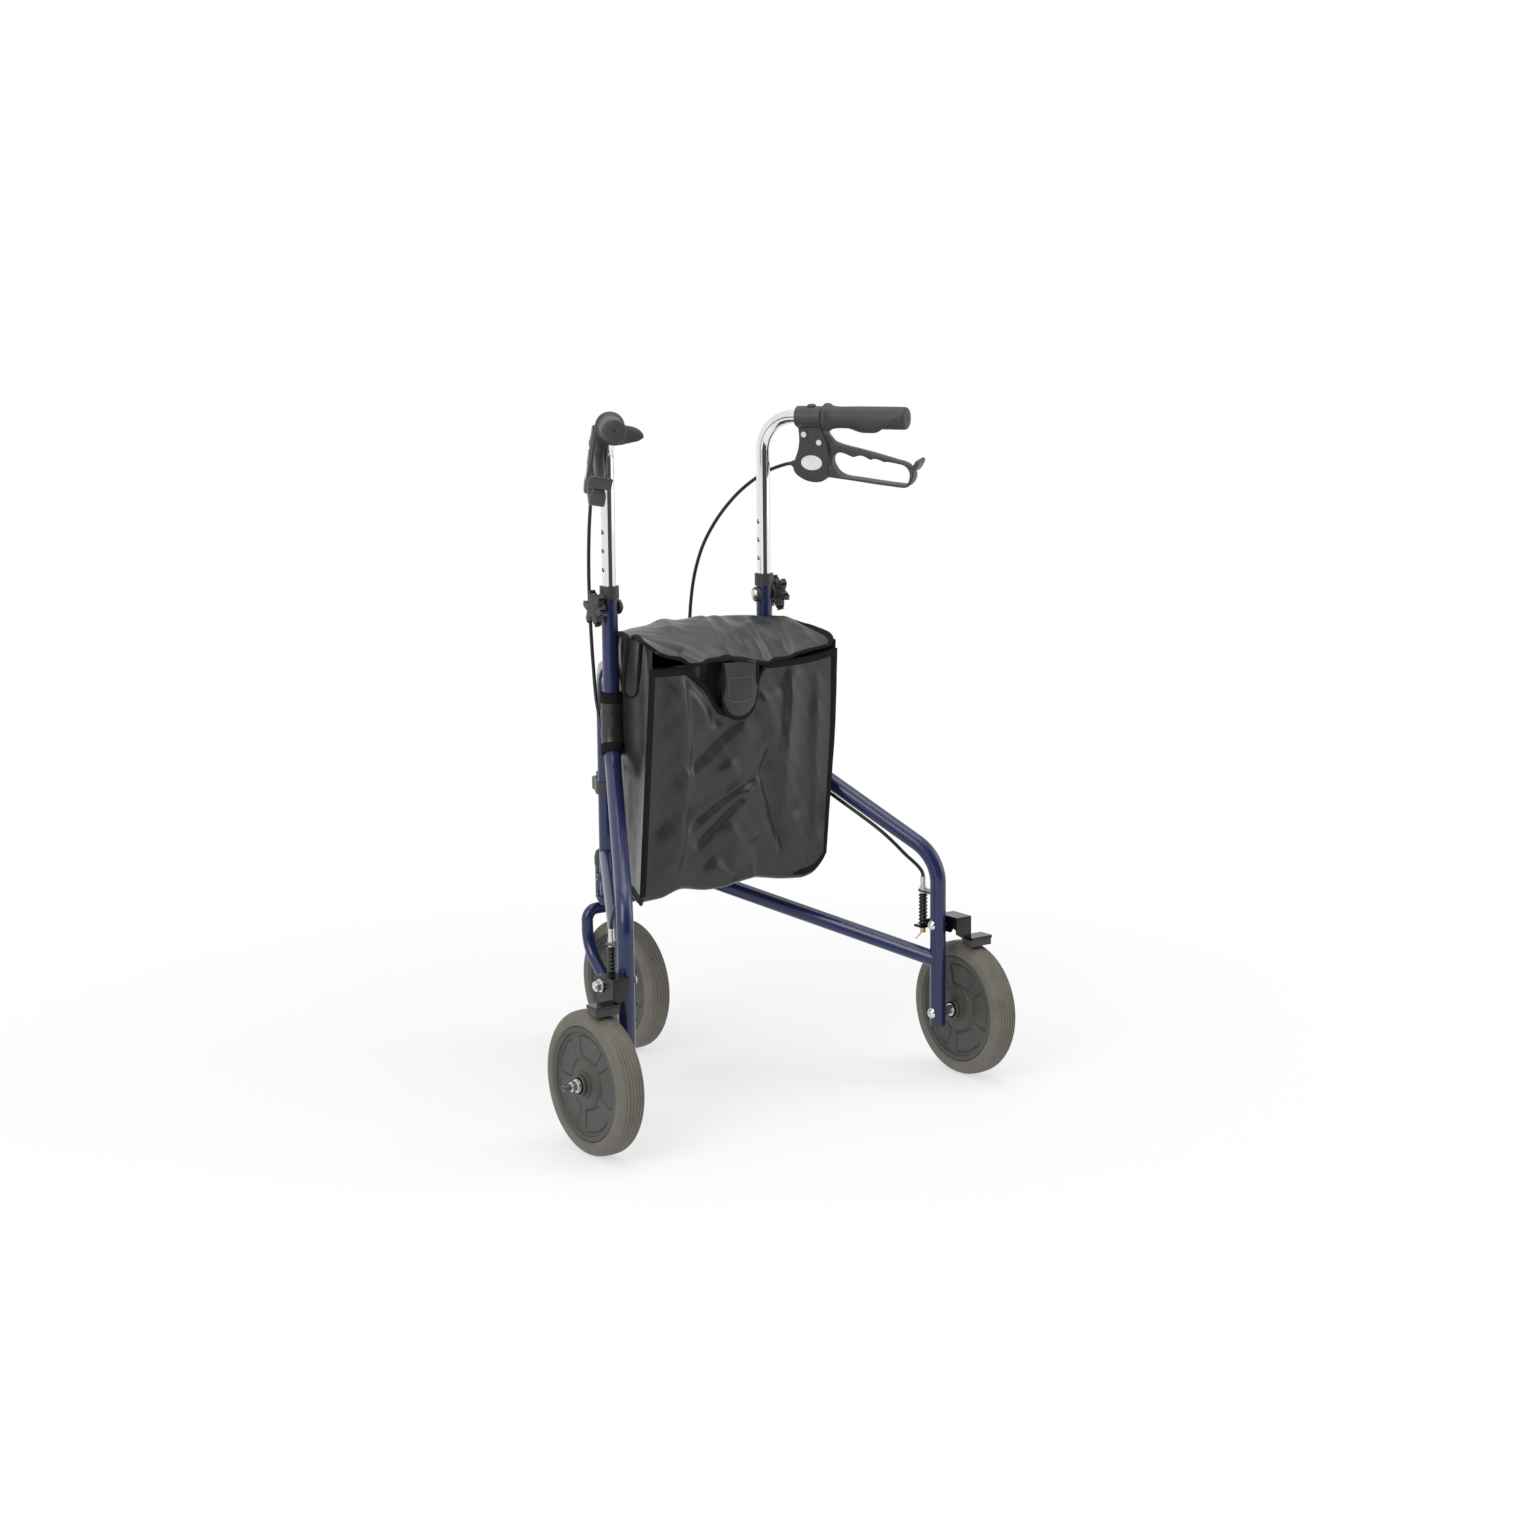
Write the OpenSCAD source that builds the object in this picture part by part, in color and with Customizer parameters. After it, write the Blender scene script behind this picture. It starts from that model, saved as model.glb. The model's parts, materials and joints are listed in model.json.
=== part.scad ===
// Three wheel rollator: two hinged side frames, a castor fork, height-adjustable
// handles with loop brakes, and a bag slung between the frames.
// +X is the user's right, +Y is the direction of travel, +Z is up.
// The origin is on the floor, midway along the wheelbase.

/* [Layout] */
// Angle between each side frame and the direction of travel, in degrees
open_angle = 29.75; // [24:0.25:34]
// Distance from a side frame's front pivot to its rear leg
leg_reach = 484; // [440:1:520]
// Distance from a side frame's front pivot to its upright
upright_reach = 222; // [205:1:245]
// Distance of each front pivot from the middle plane
pivot_x = 18; // [17:0.5:24]
// Distance of the front pivots behind the steering axis
pivot_setback = 38; // [34:1:48]
// Distance of the front axle behind the steering axis
trail = 55; // [46:1:62]

/* [Frame tubes] */
// Outer diameter of the frame tubes
frame_tube_d = 22.2; // [20.5:0.1:24]
// Wall of the frame tubes
frame_tube_wall = 1.5; // [1.2:0.1:2]
// Bend radius of the main tube
frame_bend_r = 65; // [50:1:80]
// Height where the upright would meet the diagonal
diagonal_top_z = 473; // [450:1:490]
// Height where the diagonal would meet the leg
diagonal_low_z = 316; // [300:1:340]
// Height of the top of the upright
upright_top_z = 700; // [680:1:720]
// Length of the leg below the axle
leg_tail = 16; // [13:1:25]
// Height of the upper bar
upper_bar_z = 570; // [550:1:585]
// Bend radius of the front tube
front_bend_r = 80; // [60:1:95]
// Height of the lower bar above the foot of the head, at the front
lower_bar_rise = 73; // [69:1:80]
// Drop of the lower bar below the brake pivot, at the leg
lower_bar_drop = 51; // [40:1:60]

/* [Head and fork] */
// Outer diameter of the head tube
head_tube_d = 25.4; // [24:0.1:28]
// Length of the head tube
head_tube_len = 49; // [46:1:60]
// Height of the black cap on the head tube
head_cap_h = 24; // [18:1:28]
// Diameter of the fork's stem
stem_d = 14; // [12:0.5:15]
// Outer diameter of the fork's tube
fork_tube_d = 17; // [15:0.5:18]
// Distance of each fork blade from the middle plane
fork_half_w = 30; // [29:0.5:36]
// Space between the tyre and the middle of the fork's crown
crown_gap = 10; // [6:1:20]
// Bend radius of the fork's blades
blade_bend_r = 60; // [50:1:70]
// Height of the upper link between the front tubes
link_z = 386; // [360:1:430]

/* [Wheels] */
// Diameter of the wheels
wheel_d = 190; // [180:1:200]
// Width of the tyres
tyre_w = 38; // [32:1:40]
// Diameter of the hub disc inside the tyre
hub_d = 150; // [140:1:156]
// Diameter of the axles
axle_d = 8; // [6:0.5:9]
// Outer diameter of the wheel bearings
bearing_d = 22; // [19:1:24]
// Width of each wheel bearing
bearing_w = 7; // [5:1:9]
// Distance of a rear wheel's middle outboard of its leg
wheel_offset = 49.4; // [48:0.1:56]

/* [Handles] */
// Height of the handle's axis
handle_z = 920; // [900:1:940]
// Bend radius of the handle tube
handle_bend_r = 47; // [40:1:55]
// Length of the handle tube that stays below the top of the upright
handle_insert = 85; // [70:1:86]
// Height of the height bolt below the top of the upright
height_bolt_drop = 27; // [23:1:32]
// Pitch of the height holes
height_pitch = 25.4; // [24:0.1:26]
// Number of height holes
height_holes = 7; // [5:1:7]
// Outer diameter of the hand grip
grip_d = 31; // [28:0.5:34]
// Length of the hand grip
grip_len = 126; // [120:1:140]

/* [Brakes] */
// Distance from the upright to the brake's clamp
clamp_offset = 49; // [47:1:60]
// Length of the brake's clamp
clamp_len = 39; // [36:1:42]
// Outward lean of the brake about the handle, in degrees
brake_lean = 9; // [4:1:12]
// Distance of the brake's body outboard of the handle's axis
brake_out = 9; // [6:0.5:10]
// Thickness of the brake lever inside its housing
lever_t = 10; // [8:0.5:12]
// Width of the lever's finger loop
lever_band_w = 20; // [14:1:24]
// Length of the brake lever from its pivot to the middle of its rounded end
lever_len = 126; // [122:1:134]
// Height of the brake pivot above the tyre
brake_rise = 31; // [28:1:36]
// Distance of the cable in front of the leg
cable_reach = 33; // [30:1:38]
// Angle that the brake arm turns to reach the tyre, in degrees
brake_swing = 7; // [5:0.5:8]
// Diameter of the brake cable's outer casing
cable_d = 5; // [4:0.25:5.5]
// Height of the cable stop above the brake pivot
stop_rise = 45; // [40:1:50]

/* [Bag] */
// Height of the bag's floor
bag_floor_z = 290; // [285:1:310]
// Height of the rear panel's top edge
bag_top_z = 602; // [580:1:606]
// Thickness of the bag's panels
bag_t = 2; // [1.5:0.1:3]
// Distance from a front pivot to the bag's front panel, along the frame
bag_front_reach = 130; // [115:1:150]
// Distance from a front pivot to the bag's rear panel, along the frame
bag_rear_reach = 334; // [315:1:345]
// Distance of the bag's rear corners inboard of the frame
bag_rear_inset = 37; // [30:1:45]
// Radius of the lid's arch
lid_arch_r = 160; // [155:1:175]
// Width of the lid's tongue
tongue_w = 60; // [45:1:70]
// Length of the lid's tongue
tongue_len = 78; // [60:1:90]

/* [Hidden] */

$fn = 64;
LEFT = -1;
RIGHT = 1;

// Colours
frame_blue = "midnightblue";
bright_metal = "silver";
black_plastic = "#242424";
dark_rubber = "#3a3a3a";
hub_grey = "#2e3032";
tyre_grey = "#6b6660";
bag_black = "#303234";

// Clearances
overrun = 1;
running_fit = 0.05;
slide_fit = 0.1;
weld_gap = 0.05;
free_gap = 0.4;
// A bend's wall is this much thicker each way than the straight tube that laps into it
bend_swell = 0.05;
bend_lap = 0.5;

// Frame tubes
frame_r = frame_tube_d / 2;
frame_bore = frame_tube_d - 2 * frame_tube_wall;
bend_angle = atan2(leg_reach - upright_reach, diagonal_top_z - diagonal_low_z);
bend_set = frame_bend_r * tan(bend_angle / 2);
upper_bend = [upright_reach + frame_bend_r, diagonal_top_z + bend_set];
lower_bend = [leg_reach - frame_bend_r, diagonal_low_z - bend_set];
bend_out = frame_bend_r * [cos(bend_angle), sin(bend_angle)];

// Wheels and layout along the direction of travel
axle_z = wheel_d / 2;
wheelbase = leg_reach * cos(open_angle) + pivot_setback - trail;
front_axle_y = wheelbase / 2;
head_y = front_axle_y + trail;
pivot_y = head_y - pivot_setback;
tread_shoulder = 12;
tread_groove = [1.2, 1.4];
tread_groove_share = 0.24;
tyre_fit = 0.2;
bearing_fit = 0.05;
rear_boss_w = 50;
front_boss_w = 2 * fork_half_w - fork_tube_d - 2;
hub_boss_d = 34;
hub_nose_d = 27;
hub_rim_w_share = 0.9;
hub_web_w_share = 0.72;
hub_step_w_share = 0.84;
hub_rim_share = 0.88;
hub_step_share = 0.42;
spoke_count = 5;
spoke_w = 5;
spoke_depth = 1.6;
spoke_from_share = 0.5;
spoke_to_share = 0.82;

// Head, from the fork's crown upwards
crown_z = wheel_d + crown_gap;
neck_h = 6.5;
head_bottom_z = crown_z + fork_tube_d / 2 + neck_h;
head_top_z = head_bottom_z + head_tube_len;
head_wall = 2;
plate_t = 4;
plate_inset = 7;
plate_edge = 3;
bush_wall = 2;
bush_flange = 2.4;
bush_flange_t = 1.5;
ring_h = 3.5;
ring_w = 3.4;
ring_gap = 0.3;
plate_z = [head_bottom_z + plate_inset, head_top_z - plate_inset - plate_t - plate_edge];
bush_r = frame_r + running_fit + bush_wall;
lower_ring_z = plate_z[0] - bush_flange_t - ring_gap - ring_h;
upper_ring_z = plate_z[1] + plate_t + bush_flange_t + ring_gap;
front_foot = 3;
front_bottom_z = lower_ring_z - front_foot;
cap_d = 27;
cap_skirt_share = 0.5;
cap_shoulder_share = 0.84;
cap_crown_share = 0.45;
cap_wall = 2;
stem_nut_d = 20;
stem_nut_h = 7;
stem_above = 9;
head_bush_h = 8;

// Upper link between the front tubes
link_h = 17;
link_boss_d = 29;
link_bolt_d = 6;
link_nut_d = 17;
link_nut_h = 8;

// Fork
fork_wall = 2;
fork_corner_r = 16;
blade_straight = 12;
blade_drop = crown_z - fork_corner_r - blade_straight - axle_z;
blade_far = norm([blade_bend_r - trail, blade_drop]);
blade_angle = atan2(blade_drop, blade_bend_r - trail) - acos(blade_bend_r / blade_far);
blade_run = sqrt(blade_far * blade_far - blade_bend_r * blade_bend_r);
eye_d = 24;
eye_t = 13;
nut_d = 14;
nut_h = 7;
nut_flange_d = 17;
nut_flange_h = 2;
washer_d = 18;
washer_t = 1.6;
bolt_head_h = 5;
bolt_head_d = 15;
thread_past = 12;

// Side frame details
lower_bar_front_z = head_bottom_z + lower_bar_rise;
brake_z = wheel_d + brake_rise;
lower_bar_rear_z = brake_z - lower_bar_drop;
leg_bottom_z = axle_z - leg_tail;
height_bolt_z = upright_top_z - height_bolt_drop;
height_bolt_d = 6;
collar_d = 26.4;
collar_h = 17;
collar_lip = 2;
saddle_d = 20;
saddle_t = 5;
dome_d = 14;
dome_h = 5;
knob_d = 45;
knob_lobes = 5;
knob_lobe_share = 0.34;
knob_core_share = 0.62;
knob_t = 11;
knob_boss_d = 17;
knob_boss_h = 6;

// Handles
handle_d = frame_bore - 2 * slide_fit;
handle_wall = 1.5;
handle_bore = handle_d - 2 * handle_wall;
handle_bottom_z = upright_top_z - handle_insert;
hole_d = 6.4;
grip_start = upright_reach + clamp_offset + clamp_len + 2;
grip_end = grip_start + grip_len;
grip_flange_d = 39;
grip_flange_t = 6;
grip_fit = 0.05;
grip_skin = 4;
grip_round = 4;
handle_end = grip_end - grip_skin;
fin_reach = 16;
fin_drop = 9;
fin_tip = 5;
fin_from_share = 0.42;
fin_rise_share = 0.3;

// Brake at the handle, measured from the clamp's front end and the handle's axis
clamp_x = upright_reach + clamp_offset;
clamp_d = 30;
housing_t = 24;
housing_r = 26;
housing_c = [21, -66];
housing_neck = [[3, 0], [4.4, -26], [1, -50], [45, -60], [48, -45], [47, -30], [clamp_len, -20],
    [clamp_len, 0]];
lever_pivot = [35, -35];
rivet_at = [13, -24];
rivet_d = 6;
rivet_head_d = 8;
rivet_head_h = 1.6;
clamp_screw_d = 7;
clamp_screw_h = 5;
slot_gap = 0.4;
slot_from = 22;
slot_low = -95;
slot_high = -21;
lever_eye_r = 11;
lever_band_from = 54;
lever_heel = [46, -80];
lever_heel_r = 6;
lever_end_drop = 46;
lever_end_r = 16.5;
lever_hole_end_r = 11.5;
lever_hole_root = [70, -67];
lever_hole_root_r = 13;
lever_brow = [[76.6, -40.6], [60.4, -34.4], [52, -26]];
lever_top_at_end = 19;
lever_bar = 5;
scallops = 4;
scallop_depth = 3;
scallop_steps = 6;
paddle_from = [13, 12];
paddle_to = [26, 22];
paddle_d = 9;
paddle_w = 30;
ferrule_d = 9;
ferrule_len = 12;
ferrule_drop = 68;

// Brake at the wheel, measured from the leg's axis
arm_t = 3;
arm_gap = 0.5;
arm_in = frame_r + arm_gap;
arm_out = arm_in + 26;
arm_top = 12;
arm_back = 27;
arm_front = 12;
arm_low = 11;
pad_x = [32, 68];
pad_y = [-36, -12];
pad_drop = 22;
pad_t = 4;
shoe_y = [-34, -14];
shoe_clear = 0.35;
barrel_d = 14;
pivot_d = 8;
flange_drop = 6;
flange_half_y = 9;
flange_in = 9;
tab_t = 3;
tab_half_w = 7;
tab_past = 8;
adjuster_d = 8;
adjuster_h = 21;
adjuster_nut_d = 11;
adjuster_nut_h = 4;
boot_d = 13;
boot_waist_share = 0.72;
boot_bore = 4;
boot_ribs = 8;
anchor_d = 8;
anchor_h = 8;
wire_d = 1.6;
wire_tail = 22;
wire_tail_angle = 130;
flange_z = brake_z - flange_drop;
tab_z = brake_z + stop_rise - tab_t;
boot_gap = 0.3;
// The shoe is cut to the tyre's round as it lies when the brake is on
tyre_drop = brake_z - axle_z;
shoe_centre = [-tyre_drop * sin(brake_swing), brake_z - tyre_drop * cos(brake_swing)];

// Bag
bag_gap = 0.5;
sleeve_t = 1.8;
sleeve_gap = 0.3;
sleeve_len = 44;
side_inset = frame_r + sleeve_gap + sleeve_t / 2 + bag_t / 2;
strap_w = 30;
strap_drop = 28;
strap_at = 150;
arch_y = 5;
arch_z = 490;
arch_low_z = 560;
lid_over = 4;
lid_back = 15;
tongue_x = -5;

// The brake cable from the lever's ferrule to the adjuster at the leg, stretch by stretch.
// By the handle: distance back from the upright, distance outboard of the frame, and drop below the handle's axis
cable_by_handle = [[45, 19.5, 65.8], [36, 19.5, 65.8], [24, 20, 67.5], [-2, 22, 77], [-30, 24, 94], [-56, 25, 116],
    [-82, 26, 146], [-104, 27, 182], [-118, 27, 222]];
// By the upright: the same, and rise above the place where the upright would meet the diagonal
cable_by_upright = [[-125, 25, 182], [-127, 22, 137], [-124, 19, 97], [-116, 16, 57], [-100, 10, 23], [-72, 5, -4],
    [-38, 2, -18], [-5, 1, -24]];
// Under the diagonal: shares of its length, and the cable's place below its axis
cable_diagonal_shares = [0.126, 0.329, 0.5, 0.672];
cable_gap = 2.12;
cable_under = frame_r + cable_d / 2 + cable_gap;
// By the leg: distance before the adjuster, share of the way out to it, and rise above the diagonal's foot
cable_by_leg = [[39.35, 0.12, 21], [19.35, 0.43, 3]];
// At the adjuster: the same, and rise above the stop
cable_at_stop = [[6.35, 0.76, 42], [1.35, 0.96, 31], [0, 1, 22], [0, 1, 12]];
cable_end = cable_reach * [-cos(open_angle), sin(open_angle)];
cable_route = concat([for (p = cable_by_handle) [upright_reach + p[0], p[1], handle_z - p[2]]],
    [for (p = cable_by_upright) [upright_reach + p[0], p[1], diagonal_top_z + p[2]]],
    [for (share = cable_diagonal_shares) [upright_reach + share * (leg_reach - upright_reach)
        - cable_under * cos(bend_angle), 0, diagonal_top_z + share * (diagonal_low_z - diagonal_top_z)
        - cable_under * sin(bend_angle)]],
    [for (p = cable_by_leg) [leg_reach + cable_end[0] - p[0], p[1] * cable_end[1], diagonal_low_z + p[2]]],
    [for (p = cable_at_stop) [leg_reach + cable_end[0] - p[0], p[1] * cable_end[1], tab_z + p[2]]]);
cable_steps = 2;
cable_sides = 8;

// Places a child made for the right-hand side on the chosen side
module sided(side) {
    if (side == RIGHT)
        children();
    else
        mirror([1, 0, 0]) children();
}

// Frame coordinates: +X runs back along the side frame, +Y outboard of it
module in_frame(side) {
    sided(side) translate([pivot_x, pivot_y, 0]) rotate([0, 0, open_angle - 90]) children();
}

// A place on the side frame, turned so that +X is outboard and +Y is forward
module across(reach, z) {
    translate([reach, 0, z]) rotate([0, 0, 90 - open_angle]) children();
}

module at_leg(side, z) {
    in_frame(side) across(leg_reach, z) children();
}

// Brake coordinates at the handle: +X back from the clamp's front end, leaning outboard
module at_brake(side) {
    in_frame(side) translate([clamp_x, 0, handle_z]) rotate([brake_lean, 0, 0]) children();
}

// A flat outline in brake coordinates, given its thickness
module brake_plate(thickness) {
    rotate([90, 0, 0]) linear_extrude(thickness, center = true) children();
}

// A point in frame coordinates as a point in plan
function plan(reach, out) = [pivot_x + reach * sin(open_angle) + out * cos(open_angle),
    pivot_y - reach * cos(open_angle) + out * sin(open_angle)];

module ring(d, bore) {
    difference() {
        circle(d = d);
        circle(d = bore);
    }
}

// A straight tube in the XZ plane between two points, run on by a lap at either end
module tube_run(from, to, d, bore, lap_from, lap_to) {
    step = to - from;
    translate([from[0], 0, from[1]]) rotate([0, 90 - atan2(step[1], step[0]), 0])
        translate([0, 0, -lap_from]) linear_extrude(norm(step) + lap_from + lap_to) ring(d, bore);
}

// A bent tube in the XZ plane about a centre
module tube_bend(centre, r, start, sweep, d, bore) {
    translate([centre[0], 0, centre[1]]) rotate([90, 0, 0]) rotate([0, 0, start])
        rotate_extrude(angle = sweep) translate([r, 0]) ring(d + 2 * bend_swell, bore - 2 * bend_swell);
}

module along_x(from, to, d) {
    translate([from, 0, 0]) rotate([0, 90, 0]) cylinder(h = to - from, d = d);
}

// A flat bar with round ends
module link2d(p, q, d) {
    step = q - p;
    translate(p) circle(d = d);
    translate(q) circle(d = d);
    translate(p) rotate(atan2(step[1], step[0])) translate([0, -d / 2]) square([norm(step), d]);
}

module hex_nut_x(from, d, h, bore) {
    translate([from, 0, 0]) rotate([0, 90, 0]) linear_extrude(h) difference() {
        circle(d = d, $fn = 6);
        circle(d = bore);
    }
}

module washer_x(from, d, h, bore) {
    translate([from, 0, 0]) rotate([0, 90, 0]) linear_extrude(h) ring(d, bore);
}

// A shallow dome standing on the plane x = from, its top towards -X
module dome_x(from, d, h) {
    r = (d * d / 4 + h * h) / (2 * h);
    translate([from, 0, 0]) intersection() {
        translate([r - h, 0, 0]) sphere(r = r);
        translate([-h, 0, 0]) rotate([0, 90, 0]) cylinder(h = h, d = d);
    }
}

// Side frame
module main_tube(side) {
    color(frame_blue) in_frame(side) difference() {
        union() {
            tube_run([upright_reach, upright_top_z], [upright_reach, upper_bend[1]], frame_tube_d, frame_bore,
                0, bend_lap);
            tube_bend(upper_bend, frame_bend_r, 180, bend_angle, frame_tube_d, frame_bore);
            tube_run(upper_bend - bend_out, lower_bend + bend_out, frame_tube_d, frame_bore, bend_lap, bend_lap);
            tube_bend(lower_bend, frame_bend_r, 0, bend_angle, frame_tube_d, frame_bore);
            tube_run([leg_reach, lower_bend[1]], [leg_reach, leg_bottom_z], frame_tube_d, frame_bore, bend_lap, 0);
            cable_tab();
        }
        across(upright_reach, height_bolt_z) along_x(-frame_tube_d, frame_tube_d, height_bolt_d + 2 * slide_fit);
        across(leg_reach, brake_z) along_x(-frame_tube_d, frame_tube_d, pivot_d + 2 * slide_fit);
        across(leg_reach, axle_z) along_x(-frame_tube_d, frame_tube_d, axle_d + 2 * slide_fit);
    }
}

// The plate on the front of the leg that stops the brake cable's casing
module cable_tab() {
    across(leg_reach, tab_z) difference() {
        union() {
            translate([-tab_half_w, 0, 0]) cube([2 * tab_half_w, cable_reach, tab_t]);
            translate([0, cable_reach, 0]) cylinder(h = tab_t, r = tab_half_w);
        }
        translate([0, 0, -overrun]) cylinder(h = tab_t + 2 * overrun, d = frame_bore);
        translate([0, cable_reach, -overrun]) cylinder(h = tab_t + 2 * overrun, d = adjuster_d + 2 * slide_fit);
    }
}

module front_tube(side) {
    color(frame_blue) in_frame(side) {
        tube_run([0, front_bottom_z], [0, upper_bar_z - front_bend_r], frame_tube_d, frame_bore, 0, bend_lap);
        tube_bend([front_bend_r, upper_bar_z - front_bend_r], front_bend_r, 90, 90, frame_tube_d, frame_bore);
        difference() {
            tube_run([front_bend_r, upper_bar_z], [upright_reach, upper_bar_z], frame_tube_d, frame_bore, bend_lap, 0);
            translate([upright_reach, 0, upper_bar_z - frame_tube_d])
                cylinder(h = 2 * frame_tube_d, r = frame_r + weld_gap);
        }
        for (z = [lower_ring_z, upper_ring_z])
            translate([0, 0, z]) linear_extrude(ring_h) ring(frame_tube_d + 2 * ring_w, frame_bore);
    }
}

module lower_bar(side) {
    color(frame_blue) in_frame(side) difference() {
        tube_run([0, lower_bar_front_z], [leg_reach, lower_bar_rear_z], frame_tube_d, frame_bore, 0, 0);
        for (end = [[0, lower_bar_front_z], [leg_reach, lower_bar_rear_z]])
            translate([end[0], 0, end[1] - 2 * frame_tube_d]) cylinder(h = 4 * frame_tube_d, r = frame_r + weld_gap);
    }
}

module collar(side) {
    color(black_plastic) in_frame(side) translate([upright_reach, 0, upright_top_z + collar_lip - collar_h])
        difference() {
            cylinder(h = collar_h, d = collar_d);
            translate([0, 0, -overrun]) cylinder(h = collar_h - collar_lip + overrun, r = frame_r + weld_gap);
            translate([0, 0, -overrun]) cylinder(h = collar_h + 2 * overrun, d = handle_d + 2 * slide_fit);
        }
}

// The inboard half of the height bolt, with its domed head and black saddle
module height_bolt(side) {
    head_at = -frame_r - saddle_t;
    in_frame(side) across(upright_reach, height_bolt_z) {
        color(black_plastic) difference() {
            along_x(head_at, 0, saddle_d);
            translate([0, 0, -saddle_d]) cylinder(h = 2 * saddle_d, r = frame_r + weld_gap);
            along_x(head_at - overrun, 0, height_bolt_d + 2 * slide_fit);
        }
        color(bright_metal) {
            dome_x(head_at, dome_d, dome_h);
            difference() {
                along_x(head_at, 0, height_bolt_d);
                translate([0, 0, -saddle_d]) cylinder(h = 2 * saddle_d, d = handle_d + 2 * free_gap);
            }
        }
    }
}

module knob(side) {
    star_at = frame_r + free_gap + knob_boss_h;
    color(black_plastic) in_frame(side) across(upright_reach, height_bolt_z) difference() {
        union() {
            along_x(frame_r + free_gap, star_at, knob_boss_d);
            along_x(0, star_at, height_bolt_d);
            translate([star_at, 0, 0]) rotate([0, 90, 0]) linear_extrude(knob_t) {
                circle(d = knob_d * knob_core_share);
                for (i = [0:knob_lobes - 1])
                    rotate(i * 360 / knob_lobes) link2d([0, 0],
                        [knob_d * (1 - knob_lobe_share) / 2, 0], knob_d * knob_lobe_share);
            }
        }
        translate([0, 0, -knob_d]) cylinder(h = 2 * knob_d, d = handle_d + 2 * free_gap);
    }
}

// Front head: carries both side frames and the castor fork
module pivot_places() {
    for (side = [LEFT, RIGHT])
        translate([side * pivot_x, pivot_y, 0]) children();
}

module head_plate2d(pivot_r, nose_r) {
    for (side = [LEFT, RIGHT])
        translate([side * pivot_x, -pivot_setback]) circle(r = pivot_r);
    circle(r = nose_r);
    polygon([[-pivot_x - pivot_r, -pivot_setback], [-pivot_x, -pivot_setback - pivot_r],
        [pivot_x, -pivot_setback - pivot_r], [pivot_x + pivot_r, -pivot_setback], [nose_r, 0], [-nose_r, 0]]);
}

module head_bracket() {
    color(frame_blue) difference() {
        translate([0, head_y, 0]) {
            translate([0, 0, head_bottom_z]) cylinder(h = head_tube_len, d = head_tube_d);
            for (z = plate_z)
                translate([0, 0, z]) linear_extrude(plate_t) head_plate2d(bush_r + plate_edge, head_tube_d / 2);
        }
        translate([0, head_y, head_bottom_z - overrun])
            cylinder(h = head_tube_len + 2 * overrun, d = head_tube_d - 2 * head_wall);
        pivot_places() translate([0, 0, head_bottom_z]) cylinder(h = head_tube_len, r = bush_r);
    }
}

module pivot_bushes() {
    color(black_plastic) pivot_places() for (i = [0, 1]) translate([0, 0, plate_z[i]]) difference() {
        union() {
            cylinder(h = plate_t, r = bush_r - weld_gap);
            translate([0, 0, i * plate_t - (1 - i) * bush_flange_t])
                cylinder(h = bush_flange_t, r = bush_r + bush_flange);
        }
        translate([0, 0, -plate_t]) cylinder(h = 3 * plate_t, r = frame_r + running_fit);
    }
}

module upper_link() {
    color(black_plastic) translate([0, 0, link_z - link_h / 2]) difference() {
        translate([0, head_y, 0]) linear_extrude(link_h) head_plate2d(link_boss_d / 2, link_boss_d / 2);
        pivot_places() translate([0, 0, -overrun]) cylinder(h = link_h + 2 * overrun, r = frame_r + running_fit);
        translate([0, head_y, -overrun]) cylinder(h = link_h + 2 * overrun, d = link_bolt_d + 2 * slide_fit);
    }
}

module link_bolt() {
    color(black_plastic) translate([0, head_y, link_z]) {
        cylinder(h = link_h + 2 * link_nut_h, d = link_bolt_d, center = true);
        for (end = [-1, 1])
            translate([0, 0, end * (link_h + link_nut_h) / 2]) cylinder(h = link_nut_h, d = link_nut_d, center = true);
    }
}

module head_cap() {
    cap_r = cap_d / 2;
    inner_r = cap_r - cap_wall;
    color(black_plastic) translate([0, head_y, head_top_z]) rotate_extrude() difference() {
        polygon([[0, 0], [cap_r, 0], [cap_r, head_cap_h * cap_skirt_share],
            [cap_r * cap_shoulder_share, head_cap_h * cap_shoulder_share],
            [cap_r * cap_crown_share, head_cap_h], [0, head_cap_h]]);
        square([inner_r, head_cap_h * cap_skirt_share + cap_wall]);
    }
}

module head_bushes() {
    color(black_plastic) translate([0, head_y, 0]) for (z = [head_bottom_z, head_top_z - head_bush_h])
        translate([0, 0, z]) linear_extrude(head_bush_h)
            ring(head_tube_d - 2 * head_wall - 2 * weld_gap, stem_d + 2 * running_fit);
}

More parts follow.
